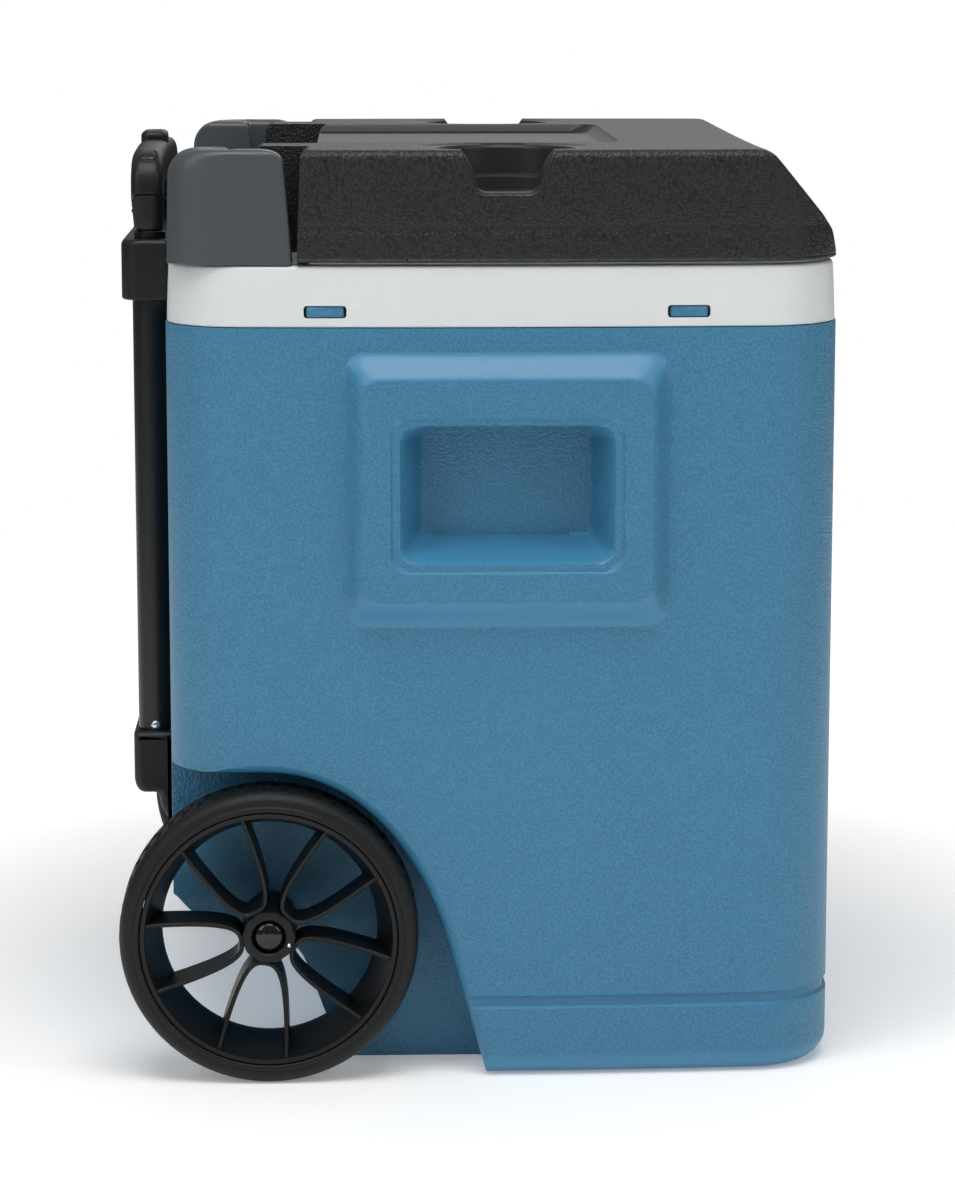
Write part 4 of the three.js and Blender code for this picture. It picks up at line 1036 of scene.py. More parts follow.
@dataclass
class Lid:
    """Grained lid: bevelled front, rear cut away for the grip, cup holders, notches and a tray."""

    inset: float = 0.3
    wall: float = 3.0
    nose_z: float = 507.8
    nose_x: float = 211.7
    crest_x: float = 171.5
    wing_x: float = -108.0
    shoulder_x: float = -133.0
    shoulder_half: float = 169.0
    base_x: float = -172.0
    base_z: float = 520.0
    cut_x: float = -97.0
    cut_half: float = 132.0
    cup_y: float = 173.0
    cup: tuple[float, float] = (40.0, 36.0)
    tray_half: float = 120.0

    def ring(self, z: float, inset: float) -> Array:
        """Plan of the lid at a height: the chest's plan, its front drawn back by the bevel.

        Each front corner is the plan's own curve as far as the bevel reaches it, then a small curve
        that turns into the bevel.

        Args:
            z: Height.
            inset: Distance drawn in.

        Returns:
            Points (N, 2), turning left.
        """
        full = PLAN.mid_x + PLAN.half_x
        if z > self.nose_z:
            share = (z - self.nose_z) / (LID_TOP - 2.5 - self.nose_z)
            front = self.nose_x - PLAN.front_bow + share * (self.crest_x + 4 - self.nose_x)
        else:
            share = (z - LID_BOTTOM) / (self.nose_z - LID_BOTTOM)
            front = full - (full + PLAN.front_bow - self.nose_x) * max(0.0, share)
        front -= inset
        half_y, rear = PLAN.half_y - inset, REAR_X + inset
        corner, edge = PLAN.corner - inset, 4.5
        centre_x, centre_y = full - PLAN.corner, PLAN.half_y - PLAN.corner
        ratio = np.clip((front - edge - centre_x) / (corner - edge), 0.0, 0.999)
        theta = math.acos(ratio)
        small = np.array([front - edge, centre_y + (corner - edge) * math.sin(theta)])
        turn = np.linspace(0, theta, 10)
        nose = small + edge * np.stack([np.cos(turn), np.sin(turn)], axis=1)
        turn = np.linspace(theta, math.pi / 2, 9)[1:]
        join_x = min(centre_x, front - edge)
        flank = np.array([join_x, centre_y]) + corner * np.stack([np.cos(turn), np.sin(turn)], axis=1)
        side = np.stack([np.linspace(join_x, rear + corner, 44)[1:-1], np.full(42, half_y)], axis=1)
        turn = np.linspace(math.pi / 2, math.pi, 10)
        back = np.array([rear + corner, centre_y]) + corner * np.stack([np.cos(turn), np.sin(turn)], axis=1)
        left = np.vstack([nose, flank, side, back])
        rear_run = np.stack([np.full(20, rear), np.linspace(1, -1, 22)[1:-1] * back[-1, 1]], axis=1)
        front_run = np.stack([np.full(30, front), np.linspace(-1, 1, 32)[1:-1] * nose[0, 1]], axis=1)
        flat = np.vstack([left, rear_run, (left * [1, -1])[::-1], front_run])
        u, v = (flat[:, 0] - PLAN.mid_x) / PLAN.half_x, flat[:, 1] / PLAN.half_y
        share = np.clip((flat[:, 0] - PLAN.mid_x) / (front - PLAN.mid_x), 0, 1)
        bow = PLAN.front_bow * (1 - v * v) * share ** 2
        return np.stack([flat[:, 0] + bow, flat[:, 1] + PLAN.side_bow * (1 - u * u) * v], axis=1)

    def block(self) -> Object:
        """Closed form of the lid before anything is cut from it; its top dips a little in front.

        Returns:
            The closed form.
        """
        rows = [(0.9, LID_BOTTOM), (0.2, LID_BOTTOM + 0.5), (0.0, LID_BOTTOM + 1.4), (0.5, LID_BOTTOM + 2.3),
                (0.0, LID_BOTTOM + 3.2), (0.0, 498.0), (0.0, 503.0), (0.3, 505.8), (0.9, self.nose_z + 0.4),
                (0.6, 511.0), (0.0, 515.0), (0.0, 524.0), (0.0, 534.0), (0.0, 543.0), (0.0, 547.0)]
        out, up = arc(5.5, 8)
        rows += [(5.5 - o, LID_TOP - 5.5 + u) for o, u in zip(out[1:], up[1:])]
        rings = stacked([(self.ring(z, self.inset + draw), z) for draw, z in rows])
        centre = np.array([PLAN.mid_x, 0, LID_TOP])
        inner = np.stack([centre + (rings[-1] - centre) * k for k in (0.97, 0.9, 0.8, 0.65, 0.45, 0.2, 0.0)])
        rings = np.concatenate([rings, inner])
        x, y, z = rings[..., 0], rings[..., 1], rings[..., 2]
        dip = 3.0 * soft((z - 515) / 36) * np.maximum(0, 1 - (y / 205) ** 2) * soft((x - 85) / 75)
        rings[..., 2] = z - dip
        return build("lid shell", Patch(rings))

    @staticmethod
    def prism(name: str, outline: Array, y0: float, y1: float) -> Object:
        """Tool with one side-view outline between two places along Y."""
        return build(name, Patch(across([outline, outline], [y0, y1])))

    @staticmethod
    def rear_face(x: float, slant: float, bottom: float, radius: float = 6.0) -> Array:
        """Side view of what is cut off behind a face, with the face's top edge rounded over.

        Args:
            x: Place of the face.
            slant: How far its top leans forward.
            bottom: Where it starts.
            radius: Radius of its top edge.

        Returns:
            Points (N, 2).
        """
        out, up = arc(radius, 8, 0, 80)
        curve = np.stack([x + slant + radius - out, LID_TOP - radius + up], axis=1)
        return np.vstack([[-260, bottom], [x, bottom], curve, [x + slant + radius, LID_TOP + 6],
                          [-260, LID_TOP + 6]])

    def cutters(self) -> list[Object]:
        """Everything that is taken off the block.

        Returns:
            The cutters.
        """
        tools = []
        for side in Side:
            ends = sorted([side.value * self.shoulder_half, side.value * 260])
            tools.append(self.prism("bay", self.rear_face(self.wing_x, 3, 470), *ends))
            tools += [self.cup_tool(side), self.dish_tool(side), self.notch_tool(side)]
        tools.append(self.prism("shoulder", self.rear_face(self.shoulder_x, 0, self.base_z), -180, 180))
        tools.append(self.prism("grip room", self.rear_face(self.cut_x, 0, self.base_z - 0.2),
                                -self.cut_half, self.cut_half))
        x = np.linspace(self.base_x - 8, HINGE_X, 12)
        low = HINGE_Z - np.sqrt(32.5 ** 2 - np.minimum(np.abs(x - HINGE_X), 32) ** 2)
        swing = np.vstack([np.stack([x, low], axis=1), [HINGE_X, 470], [-260, 470], [-260, low[0]]])
        tools.append(self.prism("swing", swing[::-1], -180, 180))
        tools.append(self.prism("rear", np.array([[-260, 470], [self.base_x, 470], [self.base_x, 512.0],
                                                  [self.base_x + 1.8, 517.0], [self.base_x + 6, 520.2],
                                                  [self.base_x + 8, 530], [-260, 530]]), -230, 230))
        tools.append(self.tray_tool())
        return tools

    def tray_tool(self) -> Object:
        """Shallow tray: its front ramp is long, its sides short, and its corners round.

        Returns:
            The cutter.
        """
        rows = []
        for z, front, beside in ((548.6, 74.0, -3.0), (548.75, 77.5, -1.2), (549.5, 80.0, 0.0),
                                 (553.0, 85.5, 1.4),
                                 (554.4, 87.5, 2.2), (560.0, 90.0, 5.0)):
            half = self.tray_half + beside
            outline = rounded_rectangle((front + 140) / 2, half, [12, 3, 3, 12], 8)
            rows.append((outline + [(front - 140) / 2, 0], z))
        return build("tray", Patch(stacked(rows)))

    def cup_tool(self, side: Side) -> Object:
        """Round cutter of a cup holder, with a ledge, a rounded floor and a rounded lip.

        Args:
            side: Side of the chest.

        Returns:
            The cutter.
        """
        r, low = self.cup
        floor, ledge = LID_TOP - 30, LID_TOP - 19
        profile = [(0, floor), (low - 3, floor), (low - 0.9, floor + 0.9), (low, floor + 3),
                   (low + 0.1, ledge - 1.4),
                   (low + 0.6, ledge - 0.3), (low + 1.6, ledge), (r - 1.2, ledge), (r - 0.3, ledge + 0.3),
                   (r, ledge + 1.2), (r + 0.5, LID_TOP - 3.4), (r + 0.9, LID_TOP - 2.2),
                   (r + 1.7, LID_TOP - 1.25),
                   (r + 2.8, LID_TOP - 0.75), (r + 6, LID_TOP + 4), (0, LID_TOP + 4)]
        return build("cup", Patch(turned(profile, "z", (MID_X, side.value * self.cup_y, 0), 96)))

    def dish_tool(self, side: Side) -> Object:
        """Oval lead-in round a cup holder, a millimetre deep.

        Args:
            side: Side of the chest.

        Returns:
            The cutter.
        """
        y = side.value * (self.cup_y - 1)
        rows = [(ellipse(MID_X, y, 51.5 + grow, 40.5 + grow, 96), LID_TOP + z)
                for grow, z in ((0, -1.0), (2.5, 0.2), (5, 2.0))]
        return build("dish", Patch(stacked(rows)))

    def notch_tool(self, side: Side) -> Object:
        """Notch for a mug's handle: narrower below, round in its lower corners, flared outwards.

        Args:
            side: Side of the chest.

        Returns:
            The cutter.
        """
        low = LID_TOP - 24.5
        corners = np.array([[-16.6, low], [16.6, low], [20.6, LID_TOP - 9], [27.6, LID_TOP + 1],
                            [29.5, LID_TOP + 8],
                            [-29.5, LID_TOP + 8], [-27.6, LID_TOP + 1], [-20.6, LID_TOP - 9]]) + [MID_X, 0]
        outline = resampled(rounded_polygon(corners, np.array([5, 5, 7, 2, 1, 1, 2, 7]), 9), 130)
        side_y = PLAN.side_at(outline[:, 0])
        rings = [outline, outline]
        places = [np.full(len(outline), self.cup_y), side_y - 3.6]
        for t in np.radians([25, 50, 70]):
            rings.append(grown(outline, 3 * (1 - math.cos(t))))
            places.append(PLAN.side_at(rings[-1][:, 0]) - 3.3 + 3 * math.sin(t))
        rings.append(grown(outline, 3))
        places.append(np.full(len(outline), 240.0))
        return build("notch", Patch(across(rings, [side.value * p for p in places])))

    def knuckles(self) -> Object:
        """Round knuckles of the hinge at the two ends of the rear edge.

        Returns:
            The knuckles as one object.
        """
        patches = []
        for side in Side:
            a, b = side.value * (self.cut_half + 0.2), side.value * self.shoulder_half
            d = side.value * 1.2
            profile = [(4.4, a), (10.8, a), (12, a + d), (12, b - d), (10.8, b), (4.4, b)]
            patches.append(Patch(turned(profile, "y", (HINGE_X, 0, HINGE_Z), 40), looped=True))
        return build("knuckles", *patches)

    def make(self, paint: Finishes) -> None:
        """Builds the lid's shell and its inner liner.

        Args:
            paint: The materials.
        """
        shell = combined(self.block(), self.cutters())
        without_faces(shell, lambda c, n: not (c.z < LID_BOTTOM + 0.1 and n.z < -0.9))
        walled(shell, self.wall)
        absorbed(shell, self.knuckles())
        self.mark_polished(shell)
        finished(shell, "lid", paint.lid, ["lid_shell"], 32)
        self.liner(paint)

    def mark_polished(self, shell: Object) -> None:
        """Marks the faces of the cup holders, the notches and the tray in an attribute.

        Args:
            shell: The lid's shell.
        """
        mesh = shell.data
        centre = np.empty(len(mesh.polygons) * 3)
        mesh.polygons.foreach_get("center", centre)
        x, y, z = centre.reshape(-1, 3).T / MM
        from_cup = np.hypot((x - MID_X) / 53, (np.abs(y) - self.cup_y) / 42)
        cup = (from_cup < 1) & (z > LID_TOP - 33)
        notch = (np.abs(x - MID_X) < 27) & (np.abs(y) > self.cup_y) & (z > LID_TOP - 26)
        notch &= np.abs(y) < PLAN.side_at(x) - 1.2
        tray = (np.abs(y) < self.tray_half + 2) & (x < 86) & (z > LID_TOP - 6)
        mark = mesh.attributes.new("polished", "FLOAT", "FACE")
        mark.data.foreach_set("value", (cup | notch | tray).astype(float))

    def liner(self, paint: Finishes) -> None:
        """Inner liner: a flange against the collar and a plug that stands in the tub's mouth.

        Args:
            paint: The materials.
        """
        lines = np.linspace(-0.9, 0.9, 8)

        def plug(draw: float) -> Array:
            """Ring round the plug, drawn in."""
            radii = [26 - draw, 68 - draw, 68 - draw, 26 - draw]
            return rounded_rectangle(166 - draw, 183 - draw, radii, 10, lines, lines) + [16, 0]

        rows = [(plug(14), 474.4), (plug(13), 473.2), (plug(8), 473.0), (plug(3), 473.6), (plug(0.8), 475.6),
                (plug(0), 478.5), (plug(0), 487.4), (plug(0), 491.4)]
        body = build("lid liner", Patch(stacked(rows)))
        flange = self.ring(LID_BOTTOM, 6.0)
        wide = np.abs(flange[:, 1]) > 162
        flange[:, 0] = np.maximum(flange[:, 0], np.where(wide, -100.0, -129.0))
        absorbed(body, build("flange", Patch(stacked([(flange, 487.4), (flange, 491.4)]))))
        finished(body, "lid", paint.liner, ["lid_liner"], 40)


@dataclass
class HingeCover:
    """Smooth grey cover over a hinge, on a rear corner of the chest."""

    side: Side
    bottom: float = 487.3
    front: float = -110.0
    lean: float = 5.5
    inner: float = 171.0
    ledge: float = 195.0

    def outline(self, z: float, draw: float) -> Array:
        """Plan of the cover at a height, drawn in near its top.

        The rear face leans and rounds over, the front face leans a little, and the inner part ends
        at a slanted step.

        Args:
            z: Height.
            draw: Distance drawn in.

        Returns:
            Points (N, 2).
        """
        rise = (z - COLLAR_TOP) / (LID_TOP - COLLAR_TOP)
        front = self.front - self.lean * rise ** 1.2
        rear = REAR_X + 2.2 + 1.6 * rise
        crown = max(0.0, z - (LID_TOP - 16)) / 16
        rear += 15 * (1 - math.sqrt(max(0.0, 1 - crown ** 2))) if crown > 0 else 0
        turn = max(0.0, z - (LID_TOP - 9)) / 9
        front -= 9 * (1 - math.sqrt(max(0.0, 1 - turn ** 2))) if turn > 0 else 0
        step = -131.0 - 16 * rise
        outer_front = float(PLAN.side_at(front)) - 2.2 - draw
        outer_rear = float(PLAN.side_at(REAR_X + 30)) - 2.2 - draw
        corners = np.array([
            [rear + draw, self.inner + draw], [step - draw, self.inner + draw],
            [step - draw, self.ledge + draw],
            [front - draw, self.ledge + draw], [front - draw, outer_front], [rear + draw, outer_rear - 1]])
        inward = rounded_polygon(corners, np.array([2.0, 1.5, 1.5, 1.5, 3.0, 44 - 0.4 * draw]), 12)
        return np.stack([inward[:, 0], self.side.value * inward[:, 1]], axis=1)

    def make(self, paint: Finishes) -> None:
        """Builds the cover with a shallow oval recess in its top.

        Args:
            paint: The materials.
        """
        rows = [(0.6, self.bottom), (0.0, self.bottom + 0.6)] + [(0.0, z) for z in np.linspace(492, 536, 8)]
        edge = 4.0
        out, up = arc(edge, 7)
        rows += [(0.0, z) for z in (540.0, 543.0, 545.5, 547.5, 549.0)]
        rows += [(edge - o, LID_TOP - edge + u - 0.05) for o, u in zip(out, up)]
        rings = stacked([(self.outline(z, draw), z) for draw, z in rows])
        cover = build(f"hinge cover {self.side.word}", Patch(rings))
        y = self.side.value * (self.inner + 22)
        rows = [(ellipse(-150, y, 8.5 * k, 16 * k, 40), LID_TOP + z)
                for k, z in ((0.55, -1.4), (0.8, -1.1), (1.0, -0.1), (1.1, 2.0))]
        bowl = build("recess", Patch(stacked(rows)))
        combined(cover, [bowl])
        finished(cover, "root", paint.cover, [f"hinge_cover_{self.side.word}"], 38)


# --------------------------------------------------------------------------------------
# Pull handle
# --------------------------------------------------------------------------------------

@dataclass
class PullHandle:
    """Three nested tubes each side, two brackets, a moulded grip and its push button."""

    wall: float = 1.2
    outer: tuple[float, float, float] = (11.0, 156.5, 490.0)
    middle: tuple[float, float, float] = (9.5, 190.0, 499.5)
    inner: tuple[float, float, float] = (8.0, 210.0, 530.0)
    grip_top: float = 551.0
    underside: float = 524.0
    sleeve: float = 500.0
    half: float = 12.0

    def tube(self, kind: str, size: tuple[float, float, float], side: Side, body: str,
             paint: Finishes) -> None:
        """Round tube with softly broken ends.

        Args:
            kind: Outer, middle or inner.
            size: Radius, lower end and upper end.
            side: Side of the chest.
            body: Body that carries it.
            paint: The materials.
        """
        r, z0, z1 = size
        bore = r - self.wall
        profile = [(bore, z0 + 0.3), (bore + 0.3, z0), (r - 0.3, z0), (r, z0 + 0.3), (r, z1 - 0.4),
                   (r - 0.4, z1),
                   (bore + 0.3, z1), (bore, z1 - 0.3)]
        made = lathe(f"{kind} tube {side.word}", profile, "z", (LEG_X, side.value * LEG_Y, 0), looped=True)
        finished(made, body, paint.tube, [f"{kind}_tube_{side.word}"], 40)

    def grip_rings(self) -> Array:
        """Rings along the grip, from one sleeve over the bar to the other.

        The outer and inner curves of the front view give each ring its middle and half width; the
        ring is a superellipse of power four across them.

        Returns:
            Rings (R, 40, 3).
        """
        out_y, in_y = LEG_Y + self.half, LEG_Y - self.half
        inside = bezier([[in_y, 511.0], [in_y, self.underside - 1], [in_y - 1, self.underside],
                         [in_y - 14, self.underside]], 16)
        low = np.array([self.sleeve, self.sleeve + 1.2, self.sleeve + 8, self.sleeve + 16, self.sleeve + 21.2,
                        self.sleeve + 21.8, self.sleeve + 22.4])
        pinch = np.array([3.6, 2.4, 1.8, 1.0, 0.5, 1.3, 0.4])
        leg_out = np.column_stack([out_y - pinch, low])
        leg_in = np.column_stack([in_y + pinch, np.linspace(self.sleeve, 510.8, 7)])
        bar_y = np.linspace(1, 0, 9)[1:, None]
        bar_out = np.column_stack([bar_y * (out_y - 27), self.grip_top - 2.6 * bar_y ** 2])
        bar_in = np.column_stack([bar_y * (in_y - 14), np.full(len(bar_y), self.underside)])
        outer = np.vstack([leg_out, self.elbow(16), bar_out])
        inner = np.vstack([leg_in, inside, bar_in])
        depth = np.concatenate([10 - 0.7 * pinch, np.full(len(outer) - 7, 9.9)])
        outer = np.vstack([outer, outer[-2::-1] * [-1, 1]])
        inner = np.vstack([inner, inner[-2::-1] * [-1, 1]])
        depth = np.concatenate([depth, depth[-2::-1]])
        middle, reach = (outer + inner) / 2, (outer - inner) / 2
        angle = np.linspace(0, 2 * math.pi, 40, endpoint=False)
        power = 0.55
        across_ = np.sign(np.cos(angle)) * np.abs(np.cos(angle)) ** power
        through = np.sign(np.sin(angle)) * np.abs(np.sin(angle)) ** power
        y = middle[:, 0, None] + reach[:, 0, None] * across_
        z = middle[:, 1, None] + reach[:, 1, None] * across_
        x = GRIP_X + depth[:, None] * through
        return np.stack([x, y, z], axis=-1)

    def grip(self, paint: Finishes) -> None:
        """Grip with the mouth of its button and a curved rib over each elbow.

        Args:
            paint: The materials.
        """
        made = build("grip", Patch(self.grip_rings()))
        mouth = rounded_rectangle(8.3, 17.3, [5.2] * 4, 8) + [GRIP_X, 0]
        tools = [build("mouth", Patch(stacked([(mouth, 538.6), (mouth, 560.0)])))]
        for side in Side:
            tools.append(rod("socket", 8.3, "z", self.sleeve - 5, 530.3, (LEG_X, side.value * LEG_Y, 0)))
        combined(made, tools)
        ribs = []
        for side in Side:
            t = np.linspace(-0.25 * math.pi, 0.85 * math.pi, 26)
            centre = side.value * (LEG_Y - 2.0)
            path_y = centre + side.value * 7.5 * np.cos(t)
            path_x = GRIP_X + 6.2 * np.sin(t)
            height = self.elbow_height(np.abs(path_y)) - 0.4
            angle = np.linspace(0, 2 * math.pi, 10, endpoint=False)
            size = 0.75 * np.sin(np.linspace(0.25, math.pi - 0.25, 26)) ** 0.4
            tangent = np.gradient(np.stack([path_x, path_y], axis=1), axis=0)
            normal = np.stack([-tangent[:, 1], tangent[:, 0]], axis=1)
            normal /= np.linalg.norm(normal, axis=1)[:, None]
            ring = np.stack([
                path_x[:, None] + normal[:, 0, None] * size[:, None] * np.cos(angle),
                path_y[:, None] + normal[:, 1, None] * size[:, None] * np.cos(angle),
                height[:, None] + size[:, None] * np.sin(angle)], axis=-1)
            ribs.append(Patch(ring))
        absorbed(made, build("ribs", *ribs))
        finished(made, "handle_top", paint.nylon, ["grip"], 40)

    def elbow(self, count: int) -> Array:
        """Outer line (y, z) of the grip round one elbow, from above the sleeve to the bar."""
        y, top = LEG_Y + self.half, self.grip_top
        return bezier([[y, 523.0], [y, top - 11], [y - 8, top - 4], [y - 27, top - 2.6]], count)

    def elbow_height(self, y: Array) -> Array:
        """Height of the grip's top line at a distance from its middle."""
        line = self.elbow(60)[::-1]
        return np.interp(y, line[:, 0], line[:, 1])

    def button(self, paint: Finishes) -> None:
        """Push button: a slab with a rounded top edge and a shallow thumb hollow.

        Args:
            paint: The materials.
        """
        rows = [(0.0, 540.7), (0.0, 552.6)]
        out, up = arc(3.2, 6)
        rows += [(3.2 - o, 552.8 + u) for o, u in zip(out, up)]
        rows += [(5.0, 555.8), (6.6, 555.5)]
        outlines = [(rounded_rectangle(8.0 - d, 17.0 - d, [max(5.0 - 0.6 * d, 1.2)] * 4, 8) + [GRIP_X, 0], z)
                    for d, z in rows]
        made = build("push button", Patch(stacked(outlines)))
        finished(made, "button", paint.nylon, ["push_button"], 45)

    def upper_bracket(self, paint: Finishes) -> None:
        """Upper bracket with rounded ends, a broken top edge and a socket round each tube.

        Args:
            paint: The materials.
        """
        x0, x1 = REAR_X - 29.7, REAR_X - 0.3
        rows = [(1.6, 458.0), (0.5, 458.5), (0.0, 459.6), (0.0, 476.0), (0.0, 491.4), (0.35, 493.0),
                (1.3, 494.4),
                (2.8, 495.0)]
        middle, outlines = (x0 + x1) / 2, []
        for draw, z in rows:
            half_x = (x1 - x0) / 2 - 0.2 * draw
            outline = rounded_rectangle(half_x, 112 - draw, [3, 11, 11, 3], 9) + [middle, 0]
            outline[:, 0] += np.where(outline[:, 0] < middle, 0.8 * draw, 0.0)
            outlines.append((outline, z))
        made = build("upper bracket", Patch(stacked(outlines)))
        tools = []
        for side in Side:
            centre = (LEG_X, side.value * LEG_Y, 0)
            bore = [(11.3, 450), (11.3, 490.3), (9.8, 490.3), (9.8, 493.4), (11.4, 495.4), (11.4, 500)]
            tools.append(build("socket", Patch(turned(bore, "z", centre))))
        tools += self.screw_wells(True)
        combined(made, tools)
        finished(made, "root", paint.nylon, ["upper_bracket"], 38)

    def lower_bracket(self, paint: Finishes) -> None:
        """Lower bracket: rounded foot and a thin tail that steps down the rear wall.

        Args:
            paint: The materials.
        """
        front, back = REAR_X - 0.3, REAR_X - 26.1
        corners = np.array([[front, 191], [front, 130], [front - 3, 132], [front - 9.7, 143],
                            [front - 10.7, 152],
                            [back, 152], [back, 191]])
        reach = np.array([0.6, 0.8, 2, 4, 3, 11, 2.5])
        outline = resampled(rounded_polygon(corners, reach, 8), 120)[::-1]
        rows = []
        for t in np.radians([90, 65, 40, 20, 0]):
            rows.append((grown(outline, -5 * (1 - math.cos(t))), 112 - 5 * (1 - math.sin(t))))
        inset = [o for o, _ in rows]
        places = [-p for _, p in rows] + [p for _, p in rows[::-1]]
        rings = across(inset + inset[::-1], places)
        rings[..., 0] = np.minimum(rings[..., 0], front)
        made = build("lower bracket", Patch(rings))
        tools = [rod("socket", 11.3, "z", 156.2, 200, (LEG_X, s.value * LEG_Y, 0)) for s in Side]
        tools += self.screw_wells(False)
        combined(made, tools)
        finished(made, "root", paint.nylon, ["lower_bracket"], 38)

    @staticmethod
    def screws(upper: bool) -> list[tuple[float, float, float]]:
        """Places of the screw heads: (rear face x, y, z).

        Args:
            upper: Whether the upper bracket is meant.

        Returns:
            A place for each screw.
        """
        if upper:
            return [(-209.7, y, 474.5) for y in (-70, -35, 35, 70)]
        return [(-206.1, y, 171.5) for y in (-60, 60)]

    def screw_wells(self, upper: bool) -> list[Object]:
        """Tools for the sunk seats of a bracket's screws."""
        return [build("seat", Patch(turned(
            [(5.6, -230.0), (5.1, x + 3.3), (0, x + 3.3)], "x", (0, y, z), 28)))
            for x, y, z in self.screws(upper)]

    def fixings(self, paint: Finishes) -> None:
        """Pan-head screws with a six-lobed recess, and the domed rivets of the outer tubes.

        Args:
            paint: The materials.
        """
        for k, (x, y, z) in enumerate(self.screws(True) + self.screws(False)):
            tip = x + (26.0 if k < 4 else 22.0)
            profile = [(0, tip), (2, tip), (2, x + 3), (4.5, x + 3), (4.4, x + 1.3), (3.6, x + 0.35),
                       (2.6, x),
                       (1.75, x), (1.5, x + 1.6), (0, x + 1.6)]
            rings = turned(profile, "x", (0, y, z), 36)
            lobes = 1 + 0.14 * np.cos(6 * np.linspace(0, 2 * math.pi, 36, endpoint=False))
            for row in (7, 8):
                rings[row, :, 1:] = [y, z] + (rings[row, :, 1:] - [y, z]) * lobes[:, None]
            made = build(f"bracket screw {k + 1}", Patch(rings, capped=False))
            finished(made, "root", paint.steel, [f"bracket_screw_{k + 1}"], 40)
        for side in Side:
            profile = [(r, side.value * (LEG_Y + 11 + y)) for r, y in (
                (0, -1), (1.6, -1), (1.6, 0.1), (3, 0.1), (2.9, 0.6), (2.2, 1.2), (1.1, 1.5), (0, 1.5))]
            made = lathe(f"tube rivet {side.word}", profile, "y", (LEG_X, 0, 194.0), 28)
            finished(made, "root", paint.steel, [f"tube_rivet_{side.word}"], 40)

    def make(self, paint: Finishes) -> None:
        """Builds the whole handle.

        Args:
            paint: The materials.
        """
        for side in Side:
            self.tube("outer", self.outer, side, "root", paint)
            self.tube("middle", self.middle, side, "handle_middle", paint)
            self.tube("inner", self.inner, side, "handle_top", paint)
        self.upper_bracket(paint)
        self.lower_bracket(paint)
        self.fixings(paint)
        self.grip(paint)
        self.button(paint)


# --------------------------------------------------------------------------------------
# Wheels
# --------------------------------------------------------------------------------------

